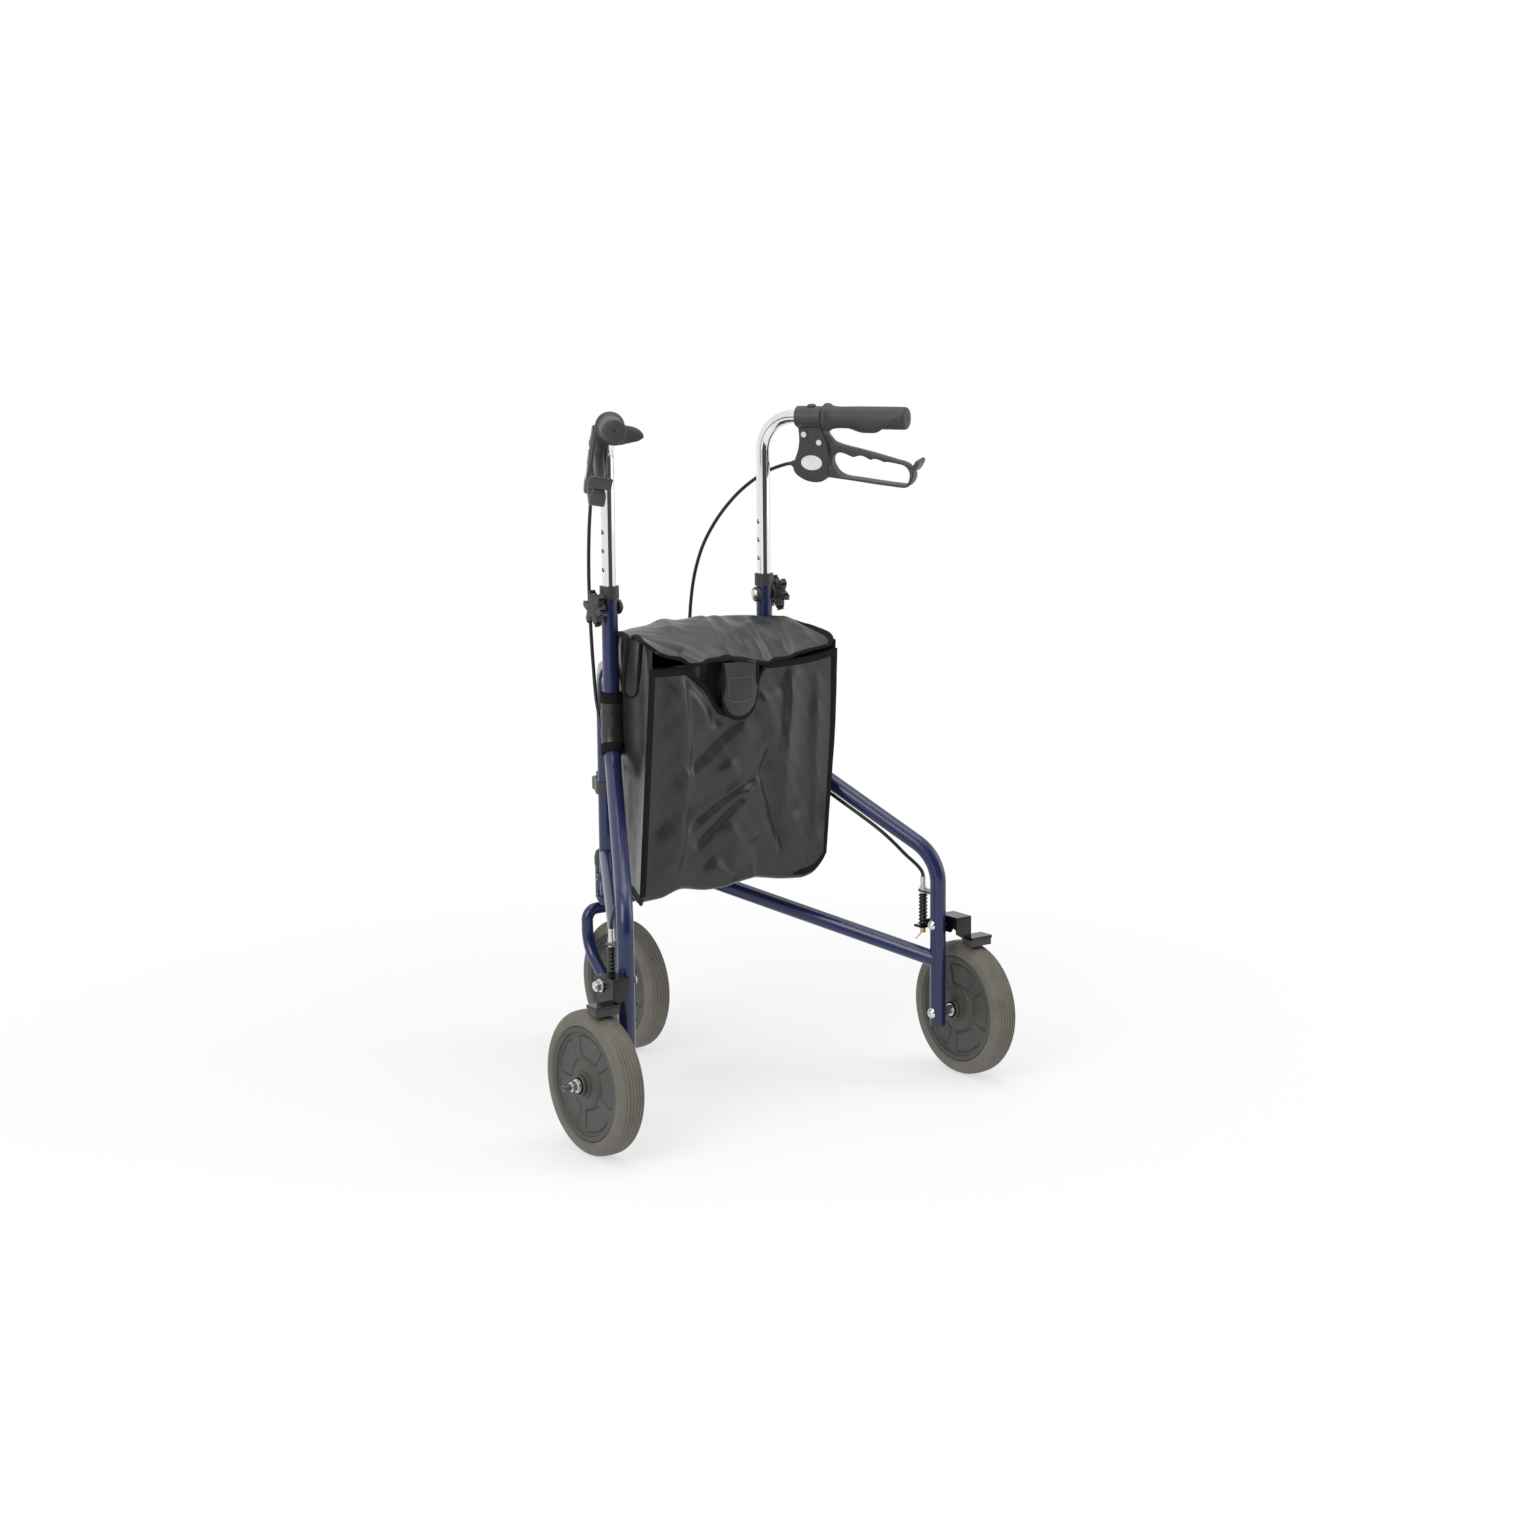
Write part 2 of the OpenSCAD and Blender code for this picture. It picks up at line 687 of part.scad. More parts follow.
// Castor fork, with the nut that holds its stem
module fork() {
    fork_bore = fork_tube_d - 2 * fork_wall;
    crown_half = fork_half_w - fork_corner_r;
    blade_top = crown_z - fork_corner_r;
    color(frame_blue) translate([0, head_y, 0]) {
        difference() {
            union() {
                tube_run([-crown_half, crown_z], [crown_half, crown_z], fork_tube_d, fork_bore, bend_lap, bend_lap);
                translate([0, 0, crown_z]) cylinder(h = head_top_z + stem_above - crown_z, d = stem_d);
                for (side = [LEFT, RIGHT]) sided(side) {
                    tube_bend([crown_half, blade_top], fork_corner_r, 0, 90, fork_tube_d, fork_bore);
                    translate([fork_half_w, 0, 0]) rotate([0, 0, -90]) blade(blade_top, fork_bore);
                    translate([fork_half_w, -trail, axle_z]) along_x(-eye_t / 2, eye_t / 2, eye_d);
                }
            }
            translate([0, -trail, axle_z])
                along_x(-fork_half_w - eye_d, fork_half_w + eye_d, axle_d + 2 * slide_fit);
        }
    }
    color(bright_metal) translate([0, head_y, head_top_z + free_gap]) linear_extrude(stem_nut_h) difference() {
        circle(d = stem_nut_d, $fn = 6);
        circle(d = stem_d + 2 * running_fit);
    }
}

// One blade, running down and then back to the axle's eye
module blade(top, bore) {
    bend_top = top - blade_straight;
    bend_end = [blade_bend_r * (1 - cos(blade_angle)), bend_top - blade_bend_r * sin(blade_angle)];
    tube_run([0, top], [0, bend_top], fork_tube_d, bore, bend_lap, bend_lap);
    tube_bend([blade_bend_r, bend_top], blade_bend_r, 180, blade_angle, fork_tube_d, bore);
    tube_run(bend_end, bend_end + (blade_run - eye_d / 3) * [sin(blade_angle), -cos(blade_angle)],
        fork_tube_d, bore, bend_lap, 0);
}

// Wheels, made about the X axis
module tyre() {
    tread_r = wheel_d / 2 - tread_shoulder;
    groove_at = tyre_w * tread_groove_share;
    color(tyre_grey) rotate([0, 90, 0]) rotate_extrude() difference() {
        union() {
            translate([hub_d / 2, -tyre_w / 2]) square([tread_r - hub_d / 2, tyre_w]);
            translate([tread_r, tread_shoulder - tyre_w / 2]) square([tread_shoulder, tyre_w - 2 * tread_shoulder]);
            for (end = [-1, 1])
                translate([tread_r, end * (tyre_w / 2 - tread_shoulder)]) circle(r = tread_shoulder);
        }
        translate([0, -tyre_w]) square([hub_d / 2, 2 * tyre_w]);
        for (end = [-1, 0, 1])
            translate([wheel_d / 2 - tread_groove[1] - abs(end) * tread_groove[0], end * groove_at - tread_groove[0] / 2])
                square([tread_shoulder, tread_groove[0]]);
    }
}

module hub(boss_w) {
    hub_r = hub_d / 2 - tyre_fit;
    rim_w = tyre_w * hub_rim_w_share;
    web_w = tyre_w * hub_web_w_share;
    step_w = tyre_w * hub_step_w_share;
    color(hub_grey) difference() {
        rotate([0, 90, 0]) rotate_extrude() {
            translate([hub_r * hub_rim_share, -rim_w / 2]) square([hub_r * (1 - hub_rim_share), rim_w]);
            translate([0, -web_w / 2]) square([hub_r * hub_rim_share, web_w]);
            translate([0, -step_w / 2]) square([hub_r * hub_step_share, step_w]);
            translate([0, -boss_w / 2]) square([hub_nose_d / 2, boss_w]);
            translate([0, -tyre_w / 2]) square([hub_boss_d / 2, tyre_w]);
        }
        along_x(-boss_w, boss_w, axle_d + 4 * free_gap);
        for (end = [-1, 1])
            translate([end * (boss_w - bearing_w + overrun) / 2, 0, 0]) rotate([0, 90, 0])
                cylinder(h = bearing_w + overrun, d = bearing_d, center = true);
        for (end = [-1, 1], i = [0:spoke_count - 1])
            rotate([i * 360 / spoke_count, 0, 0])
                translate([end * web_w / 2, 0, hub_r * (spoke_from_share + spoke_to_share) / 2])
                    cube([2 * spoke_depth, spoke_w, hub_r * (spoke_to_share - spoke_from_share)], center = true);
    }
}

module bearings(boss_w) {
    color(bright_metal) for (end = [-1, 1])
        translate([end * (boss_w - bearing_w) / 2, 0, 0]) rotate([0, 90, 0])
            linear_extrude(bearing_w, center = true) ring(bearing_d - 2 * bearing_fit, axle_d + 2 * running_fit);
}

module at_front_wheel() {
    translate([0, front_axle_y, axle_z]) children();
}

module at_rear_wheel(side) {
    at_leg(side, axle_z) translate([wheel_offset, 0, 0]) children();
}

// A nut with a flange and a washer, outward from a place on the axle
module axle_nut(from) {
    washer_x(from, washer_d, washer_t, axle_d + 2 * running_fit);
    washer_x(from + washer_t, nut_flange_d, nut_flange_h, axle_d + 2 * running_fit);
    hex_nut_x(from + washer_t + nut_flange_h, nut_d, nut_h, axle_d + 2 * running_fit);
}

module front_axle() {
    eye_out = fork_half_w + eye_t / 2;
    boss_out = front_boss_w / 2 + free_gap;
    color(bright_metal) at_front_wheel() {
        along_x(-eye_out, eye_out + washer_t + nut_flange_h + nut_h + washer_t, axle_d);
        dome_x(-eye_out, bolt_head_d, bolt_head_h);
        axle_nut(eye_out);
        for (side = [LEFT, RIGHT]) sided(side)
            washer_x(boss_out, washer_d, fork_half_w - eye_t / 2 - boss_out, axle_d + 2 * running_fit);
    }
}

module rear_axle(side) {
    boss_in = wheel_offset - rear_boss_w / 2 - free_gap;
    boss_out = wheel_offset + rear_boss_w / 2 + free_gap;
    thread_end = boss_out + washer_t + nut_flange_h + nut_h + thread_past;
    color(bright_metal) at_leg(side, axle_z) {
        along_x(-frame_r, thread_end, axle_d);
        dome_x(-frame_r, bolt_head_d, bolt_head_h);
        hex_nut_x(frame_r + weld_gap, nut_d, boss_in - washer_t - frame_r - weld_gap, axle_d + 2 * running_fit);
        washer_x(boss_in - washer_t, washer_d, washer_t, axle_d + 2 * running_fit);
        axle_nut(boss_out);
    }
}

// Handle
module handle_tube(side) {
    bend_z = handle_z - handle_bend_r;
    bend_u = upright_reach + handle_bend_r;
    hole_top = height_bolt_z + (height_holes - 3) * height_pitch;
    color(bright_metal) in_frame(side) difference() {
        union() {
            tube_run([upright_reach, handle_bottom_z], [upright_reach, bend_z], handle_d, handle_bore, 0, bend_lap);
            tube_bend([bend_u, bend_z], handle_bend_r, 90, 90, handle_d, handle_bore);
            tube_run([bend_u, handle_z], [handle_end, handle_z], handle_d, handle_bore, bend_lap, 0);
        }
        for (i = [0:height_holes - 1])
            across(upright_reach, hole_top - i * height_pitch) along_x(-handle_d, handle_d, hole_d);
    }
}

module grip(side) {
    grip_r = grip_d / 2;
    fin_from = grip_len * fin_from_share;
    color(dark_rubber) in_frame(side) translate([grip_start, 0, handle_z]) difference() {
        union() {
            rotate([0, 90, 0]) rotate_extrude() {
                square([grip_flange_d / 2, grip_flange_t]);
                square([grip_r, grip_len - grip_round]);
                square([grip_r - grip_round, grip_len]);
                translate([grip_r - grip_round, grip_len - grip_round]) circle(r = grip_round);
            }
            hull() {
                translate([fin_from, 0, 0]) rotate([0, 90, 0]) cylinder(h = overrun, r = grip_r * fin_from_share, $fn = 32);
                translate([grip_len - fin_tip, -grip_r - fin_reach + fin_tip, -fin_drop]) sphere(r = fin_tip, $fn = 24);
                translate([grip_len - fin_tip, 0, grip_r * fin_rise_share]) sphere(r = fin_tip, $fn = 24);
            }
        }
        rotate([0, 90, 0]) translate([0, 0, -overrun])
            cylinder(h = handle_end - grip_start + overrun, d = handle_d + 2 * grip_fit);
    }
}

// Brake at the handle
module brake_housing(side) {
    color(black_plastic) at_brake(side) difference() {
        union() {
            along_x(0, clamp_len, clamp_d);
            translate([clamp_len / 2, 0, clamp_d / 2 - overrun]) cylinder(h = clamp_screw_h, d = clamp_screw_d);
            translate([0, brake_out, 0]) {
                brake_plate(housing_t) {
                    polygon(housing_neck);
                    translate(housing_c) circle(r = housing_r);
                }
                translate([0, 0, -ferrule_drop]) along_x(-ferrule_len, housing_c[0], ferrule_d);
            }
        }
        along_x(-overrun, clamp_len + overrun, handle_d + 2 * grip_fit);
        translate([0, brake_out, 0]) {
            brake_plate(lever_t + 2 * slot_gap)
                polygon([[slot_from, slot_low], [slot_from, slot_high], [clamp_len + clamp_len, slot_high],
                    [clamp_len + clamp_len, slot_low]]);
            translate([0, 0, -ferrule_drop]) along_x(-ferrule_len - overrun, slot_from, cable_d + 2 * slide_fit);
            for (at = [rivet_at, lever_pivot])
                translate([at[0], 0, at[1]]) rotate([90, 0, 0])
                    cylinder(h = housing_t + 2 * overrun, d = rivet_d + 2 * running_fit, center = true);
        }
    }
}

module housing_rivets(side) {
    color(bright_metal) at_brake(side) for (at = [rivet_at, lever_pivot])
        translate([at[0], brake_out, at[1]]) rotate([90, 0, 0]) {
            cylinder(h = housing_t + 2 * rivet_head_h, d = rivet_d, center = true);
            for (end = [-1, 1])
                translate([0, 0, end * (housing_t + rivet_head_h) / 2])
                    cylinder(h = rivet_head_h, d = rivet_head_d, center = true);
        }
}

// Points on an arc
function arc2d(centre, r, from, to, steps) =
    [for (i = [0:steps]) let (a = from + (to - from) * i / steps) centre + r * [cos(a), sin(a)]];

function lever_end() = lever_pivot + [lever_len, -lever_end_drop];

// The lever's outer edge, anticlockwise from the top of its eye
function lever_outline() = concat(arc2d(lever_pivot, lever_eye_r, 75, 235, 8),
    arc2d(lever_heel, lever_heel_r, 180, 265, 3), arc2d(lever_end(), lever_end_r, 265, 380, 8),
    [lever_end() + [0, lever_top_at_end]], lever_brow);

// The edge of the finger loop, with scallops for the fingers along its upper side
function lever_loop() = let (from = lever_end() + [0, lever_top_at_end - lever_bar],
        to = lever_hole_root + [0, lever_hole_root_r + lever_bar / 2], steps = scallops * scallop_steps)
    concat(arc2d(lever_hole_root, lever_hole_root_r, 135, 260, 8), arc2d(lever_end(), lever_hole_end_r, 280, 410, 8),
        [for (i = [1:steps - 1]) from + (to - from) * i / steps
            + [0, scallop_depth * (abs(sin(i * 180 / scallop_steps)) - 1)]]);

module lever_face() {
    difference() {
        polygon(lever_outline());
        polygon(lever_loop());
    }
}

module lever(side) {
    color(black_plastic) at_brake(side) translate([0, brake_out, 0]) difference() {
        union() {
            brake_plate(lever_t) intersection() {
                lever_face();
                translate([0, slot_low]) square([lever_band_from, -slot_low]);
            }
            brake_plate(lever_band_w) intersection() {
                lever_face();
                translate([lever_band_from, slot_low]) square([lever_len, -slot_low]);
            }
            brake_plate(paddle_w) link2d(lever_end() + paddle_from, lever_end() + paddle_to, paddle_d);
        }
        translate([lever_pivot[0], 0, lever_pivot[1]]) rotate([90, 0, 0])
            cylinder(h = lever_t + 2 * overrun, d = rivet_d + 2 * running_fit, center = true);
    }
}

// A smooth curve through the route's points
function curve_point(p, i, t) =
    let (a = p[max(i - 1, 0)], b = p[i], c = p[i + 1], d = p[min(i + 2, len(p) - 1)])
    0.5 * ((2 * b) + (c - a) * t + (2 * a - 5 * b + 4 * c - d) * t * t + (3 * b - a - 3 * c + d) * t * t * t);
function smooth_route(p, steps) = [for (i = [0:len(p) - 2], k = [0:steps - 1]) curve_point(p, i, k / steps), p[len(p) - 1]];
function unit(v) = v / norm(v);
function heading(p, i) = unit(p[min(i + 1, len(p) - 1)] - p[max(i - 1, 0)]);
function side_of(h) = unit(cross(h, abs(h[1]) < 0.9 ? [0, 1, 0] : [1, 0, 0]));

// A round tube swept along points
module swept_tube(p, d, sides) {
    rings = len(p);
    points = [for (i = [0:rings - 1]) let (h = heading(p, i), s = side_of(h), up = cross(h, s))
        for (k = [0:sides - 1]) p[i] + d / 2 * (cos(k * 360 / sides) * s + sin(k * 360 / sides) * up)];
    quads = [for (i = [0:rings - 2], k = [0:sides - 1]) let (n = (k + 1) % sides)
        [i * sides + k, i * sides + n, (i + 1) * sides + n, (i + 1) * sides + k]];
    walls = [for (q = quads, half = [0, 1]) half == 0 ? [q[0], q[2], q[1]] : [q[0], q[3], q[2]]];
    starts = [for (k = [1:sides - 2]) [0, k, k + 1]];
    ends = [for (k = [1:sides - 2]) [(rings - 1) * sides, (rings - 1) * sides + k + 1, (rings - 1) * sides + k]];
    polyhedron(points, concat(walls, starts, ends));
}

module brake_cable(side) {
    color(black_plastic) in_frame(side) swept_tube(smooth_route(cable_route, cable_steps), cable_d, cable_sides);
}

// Brake at the wheel
module cable_adjuster(side) {
    color(bright_metal) at_leg(side, tab_z) translate([0, cable_reach, 0]) difference() {
        union() {
            translate([0, 0, -tab_t]) cylinder(h = tab_t + adjuster_h, d = adjuster_d);
            translate([0, 0, tab_t + weld_gap]) cylinder(h = adjuster_nut_h, d = adjuster_nut_d, $fn = 6);
        }
        translate([0, 0, -tab_t - overrun]) cylinder(h = adjuster_h, d = wire_d + 2 * free_gap);
        translate([0, 0, tab_t + adjuster_nut_h]) cylinder(h = adjuster_h, d = cable_d + 2 * slide_fit);
    }
}

module boot(side) {
    top = tab_z - tab_t - boot_gap;
    pitch = (top - flange_z - boot_gap) / boot_ribs;
    boot_r = boot_d / 2;
    color(black_plastic) at_leg(side, flange_z + boot_gap) translate([0, cable_reach, 0]) rotate_extrude()
        difference() {
            polygon(concat([[0, 0]], [for (i = [0:boot_ribs - 1]) each [[boot_r * boot_waist_share, i * pitch],
                [boot_r, (i + 0.5) * pitch]]], [[boot_r * boot_waist_share, boot_ribs * pitch], [0, boot_ribs * pitch]]));
            square([boot_bore / 2, boot_ribs * pitch]);
        }
}

// The brass clamp on the end of the inner wire, with the wire's cut tail
module cable_anchor(side) {
    color("goldenrod") at_leg(side, flange_z - arm_t) translate([0, cable_reach, 0]) {
        translate([0, 0, -anchor_h]) cylinder(h = anchor_h, d = anchor_d);
        translate([0, 0, -anchor_h]) cylinder(h = anchor_h + arm_t, d = wire_d);
        translate([0, 0, -anchor_h + wire_d]) rotate([-wire_tail_angle, 0, 0]) cylinder(h = wire_tail, d = wire_d);
    }
}

module arm_cheek(from, outline) {
    translate([from, 0, 0]) rotate([90, 0, 90]) linear_extrude(arm_t) polygon(outline);
}

module brake_arm(side) {
    pad_low = -pad_drop;
    color(black_plastic) at_leg(side, brake_z) difference() {
        union() {
            along_x(arm_in, arm_out, barrel_d);
            arm_cheek(arm_in, [[-arm_back, arm_top - arm_t], [-arm_back, arm_top], [arm_front, arm_top],
                [cable_reach + flange_half_y, arm_t - flange_drop], [cable_reach + flange_half_y, -flange_drop - arm_t],
                [arm_front, -arm_low], [-arm_front, -arm_low]]);
            arm_cheek(arm_out - arm_t, [[-arm_back, pad_low], [-arm_back, arm_top], [arm_front, arm_top],
                [arm_front, -arm_low], [pad_y[1], pad_low]]);
            translate([arm_in, -arm_back, arm_top - arm_t]) cube([arm_out - arm_in, arm_back + arm_front, arm_t]);
            translate([pad_x[0], pad_y[0], pad_low]) cube([pad_x[1] - pad_x[0], pad_y[1] - pad_y[0], pad_t]);
            translate([-flange_in, cable_reach - flange_half_y, -flange_drop - arm_t])
                cube([arm_in + arm_t + flange_in, 2 * flange_half_y, arm_t]);
        }
        along_x(arm_in - overrun, arm_out + overrun, pivot_d + 2 * running_fit);
        translate([0, cable_reach, -flange_drop - arm_t - overrun])
            cylinder(h = arm_t + 2 * overrun, d = wire_d + 2 * free_gap);
    }
}

module brake_shoe(side) {
    color(dark_rubber) at_leg(side, 0) difference() {
        translate([pad_x[0], shoe_y[0], axle_z])
            cube([pad_x[1] - pad_x[0], shoe_y[1] - shoe_y[0], brake_z - pad_drop - axle_z]);
        translate([0, shoe_centre[0], shoe_centre[1]])
            along_x(pad_x[0] - overrun, pad_x[1] + overrun, wheel_d + 2 * shoe_clear);
    }
}

module brake_pivot(side) {
    nut_from = arm_out + free_gap;
    color(bright_metal) at_leg(side, brake_z) {
        along_x(-frame_r, nut_from + nut_flange_h + nut_h + washer_t, pivot_d);
        dome_x(-frame_r, dome_d, dome_h);
        washer_x(nut_from, nut_flange_d, nut_flange_h, pivot_d + 2 * running_fit);
        hex_nut_x(nut_from + nut_flange_h, nut_d, nut_h, pivot_d + 2 * running_fit);
    }
}

// Bag
function bag_side_points() = [[bag_rear_reach, -bag_rear_inset], [upright_reach, -side_inset],
    [bag_front_reach, -side_inset]];

// Everything below the underside of the lid's arch
module under_arch(r) {
    wide = leg_reach;
    union() {
        translate([-wide, -wide, 0]) cube([2 * wide, 2 * wide, arch_low_z]);
        translate([0, arch_y, arch_z]) along_x(-wide, wide, 2 * r);
    }
}

module bag_side(side) {
    p = bag_side_points();
    half = [0, bag_t / 2];
    color(bag_black) union() {
        intersection() {
            in_frame(side) translate([0, 0, bag_floor_z]) linear_extrude(arch_z + lid_arch_r - bag_floor_z)
                polygon([p[0] - half, p[0] + half, p[1] + half, p[2] + half, p[2] - half, p[1] - half]);
            under_arch(lid_arch_r - bag_t - bag_gap);
        }
        in_frame(side) {
            translate([upright_reach, 0, upper_bend[1] + sleeve_gap]) linear_extrude(sleeve_len)
                ring(frame_tube_d + 2 * sleeve_gap + 2 * sleeve_t, frame_tube_d + 2 * sleeve_gap);
            bag_strap();
        }
    }
}

// The strap that hangs the bag from the upper bar, with its end outboard
module bag_strap() {
    strap_out = frame_r + sleeve_gap;
    translate([strap_at, 0, upper_bar_z]) {
        rotate([0, 90, 0]) linear_extrude(strap_w) ring(2 * strap_out + 2 * sleeve_t, 2 * strap_out);
        translate([0, strap_out, -strap_drop]) cube([strap_w, sleeve_t, strap_drop]);
        translate([strap_w / 2, strap_out, -strap_drop]) rotate([-90, 0, 0]) cylinder(h = sleeve_t, d = strap_w);
    }
}

module bag_body() {
    p = bag_side_points();
    inner = [for (q = p) plan(q[0], q[1] - bag_t / 2 - bag_gap)];
    rear_y = inner[0][1];
    front_y = inner[2][1];
    color(bag_black) {
        translate([0, 0, bag_floor_z]) linear_extrude(bag_t)
            polygon(concat(inner, [for (i = [2:-1:0]) [-inner[i][0], inner[i][1]]]));
        translate([bag_t - inner[0][0], rear_y, bag_floor_z])
            cube([2 * inner[0][0] - 2 * bag_t, bag_t, bag_top_z - bag_floor_z]);
        translate([-inner[2][0], front_y - bag_t, bag_floor_z])
            cube([2 * inner[2][0], bag_t, bag_top_z - bag_floor_z]);
    }
}

module bag_lid() {
    p = bag_side_points();
    rear = plan(p[0][0], p[0][1]) + [lid_over, -lid_back];
    front = plan(p[2][0], p[2][1]) + [lid_over, lid_over];
    drop = tongue_len - tongue_w / 2;
    rear_z = arch_z + sqrt(lid_arch_r * lid_arch_r - (rear[1] - arch_y) * (rear[1] - arch_y));
    color(bag_black) {
        intersection() {
            translate([0, 0, arch_low_z]) linear_extrude(arch_z + lid_arch_r - arch_low_z)
                polygon([rear, front, [-front[0], front[1]], [-rear[0], rear[1]]]);
            difference() {
                translate([0, arch_y, arch_z]) along_x(-rear[0], rear[0], 2 * lid_arch_r);
                translate([0, arch_y, arch_z]) along_x(-rear[0] - overrun, rear[0] + overrun, 2 * (lid_arch_r - bag_t));
            }
        }
        translate([tongue_x, rear[1], rear_z - bag_t]) rotate([90, 0, 0]) linear_extrude(bag_t, center = true) {
            translate([-tongue_w / 2, -drop]) square([tongue_w, drop]);
            translate([0, -drop]) circle(d = tongue_w);
        }
    }
}

head_bracket();
pivot_bushes();
upper_link();
link_bolt();
head_cap();
head_bushes();
fork();
front_axle();
at_front_wheel() hub(front_boss_w);  // front_hub
at_front_wheel() tyre();  // front_tyre
at_front_wheel() bearings(front_boss_w);  // front_bearings
main_tube(LEFT);  // left_main_tube
front_tube(LEFT);  // left_front_tube
lower_bar(LEFT);  // left_lower_bar
collar(LEFT);  // left_collar
height_bolt(LEFT);  // left_height_bolt
knob(LEFT);  // left_knob
handle_tube(LEFT);  // left_handle_tube
grip(LEFT);  // left_grip
brake_housing(LEFT);  // left_brake_housing
housing_rivets(LEFT);  // left_housing_rivets
lever(LEFT);  // left_lever
brake_cable(LEFT);  // left_brake_cable
cable_adjuster(LEFT);  // left_cable_adjuster
boot(LEFT);  // left_boot
cable_anchor(LEFT);  // left_cable_anchor
brake_arm(LEFT);  // left_brake_arm
brake_shoe(LEFT);  // left_brake_shoe
brake_pivot(LEFT);  // left_brake_pivot
rear_axle(LEFT);  // left_axle
at_rear_wheel(LEFT) hub(rear_boss_w);  // left_hub
at_rear_wheel(LEFT) tyre();  // left_tyre
at_rear_wheel(LEFT) bearings(rear_boss_w);  // left_bearings
main_tube(RIGHT);  // right_main_tube
front_tube(RIGHT);  // right_front_tube
lower_bar(RIGHT);  // right_lower_bar
collar(RIGHT);  // right_collar
height_bolt(RIGHT);  // right_height_bolt
knob(RIGHT);  // right_knob
handle_tube(RIGHT);  // right_handle_tube
grip(RIGHT);  // right_grip
brake_housing(RIGHT);  // right_brake_housing
housing_rivets(RIGHT);  // right_housing_rivets
lever(RIGHT);  // right_lever
brake_cable(RIGHT);  // right_brake_cable
cable_adjuster(RIGHT);  // right_cable_adjuster
boot(RIGHT);  // right_boot
cable_anchor(RIGHT);  // right_cable_anchor
brake_arm(RIGHT);  // right_brake_arm
brake_shoe(RIGHT);  // right_brake_shoe
brake_pivot(RIGHT);  // right_brake_pivot
rear_axle(RIGHT);  // right_axle
at_rear_wheel(RIGHT) hub(rear_boss_w);  // right_hub
at_rear_wheel(RIGHT) tyre();  // right_tyre
at_rear_wheel(RIGHT) bearings(rear_boss_w);  // right_bearings
bag_side(LEFT);  // left_bag_side
bag_side(RIGHT);  // right_bag_side
bag_body();
bag_lid();
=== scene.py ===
import json
import math

import bmesh
import bpy
import numpy as np
from mathutils import Matrix, Vector

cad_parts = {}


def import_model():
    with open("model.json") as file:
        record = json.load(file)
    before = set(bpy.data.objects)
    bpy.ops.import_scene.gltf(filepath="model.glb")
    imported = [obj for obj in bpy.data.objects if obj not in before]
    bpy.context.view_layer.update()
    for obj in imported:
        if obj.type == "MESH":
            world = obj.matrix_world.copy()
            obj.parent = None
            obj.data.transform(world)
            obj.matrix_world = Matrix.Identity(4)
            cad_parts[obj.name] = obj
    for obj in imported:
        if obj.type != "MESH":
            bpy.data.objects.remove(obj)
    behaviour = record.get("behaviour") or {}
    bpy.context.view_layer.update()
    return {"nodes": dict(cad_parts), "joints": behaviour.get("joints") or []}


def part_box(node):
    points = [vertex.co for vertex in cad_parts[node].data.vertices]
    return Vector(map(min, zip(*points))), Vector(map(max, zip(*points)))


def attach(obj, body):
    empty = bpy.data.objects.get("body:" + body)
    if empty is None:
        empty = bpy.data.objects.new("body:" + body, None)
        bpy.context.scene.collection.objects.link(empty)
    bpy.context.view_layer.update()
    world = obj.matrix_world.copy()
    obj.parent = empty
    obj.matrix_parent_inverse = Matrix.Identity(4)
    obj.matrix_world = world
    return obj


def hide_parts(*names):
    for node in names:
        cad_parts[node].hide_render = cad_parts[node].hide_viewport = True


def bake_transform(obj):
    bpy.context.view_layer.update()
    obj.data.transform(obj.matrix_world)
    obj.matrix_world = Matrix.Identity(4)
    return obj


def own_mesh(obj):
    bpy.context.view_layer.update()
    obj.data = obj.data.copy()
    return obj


# Looks of a three wheel rollator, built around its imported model.
# +X is the user's right, +Y the direction of travel, +Z up.
# Shapes are drawn in millimetres, and turned into metres when they become objects.

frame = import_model()
NODES = frame["nodes"]
JOINTS = {j["name"]: j for j in frame["joints"]}
SIDES = {"left": -1, "right": 1}
MM = 0.001
METRE = 1000
X, Y, Z = Vector((1, 0, 0)), Vector((0, 1, 0)), Vector((0, 0, 1))

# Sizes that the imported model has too
OPEN_ANGLE = math.radians(29.75)
PIVOT = Vector(JOINTS["right_fold"]["pos_m"]) * METRE
LEG_REACH = 484
UPRIGHT_REACH = 222
TUBE_R = 11.1
HANDLE_Z = 920
CLAMP_REACH = 271
BRAKE_LEAN = math.radians(9)
BRAKE_OUT = 9
CABLE_R = 2.5


# Places
def in_frame(reach, out, z):
    """A point on the right-hand frame: back along it, outboard of it, and its height."""
    s, c = math.sin(OPEN_ANGLE), math.cos(OPEN_ANGLE)
    return Vector((PIVOT.x + reach * s + out * c, PIVOT.y - reach * c + out * s, z))


def at_brake(back, out, rise):
    """A point on the right-hand brake: back from its clamp, outboard of and above the handle's axis."""
    s, c = math.sin(BRAKE_LEAN), math.cos(BRAKE_LEAN)
    return in_frame(CLAMP_REACH + back, out * c - rise * s, HANDLE_Z + out * s + rise * c)


def at_leg(out, fore, z):
    """A point by the right-hand leg: outboard of it, in front of it, and its height."""
    leg = in_frame(LEG_REACH, 0, z)
    return leg + Vector((out, fore, 0))


def basis(origin, x_axis, y_axis, z_axis):
    m = Matrix((x_axis, y_axis, z_axis)).transposed().to_4x4()
    m.translation = origin
    return m


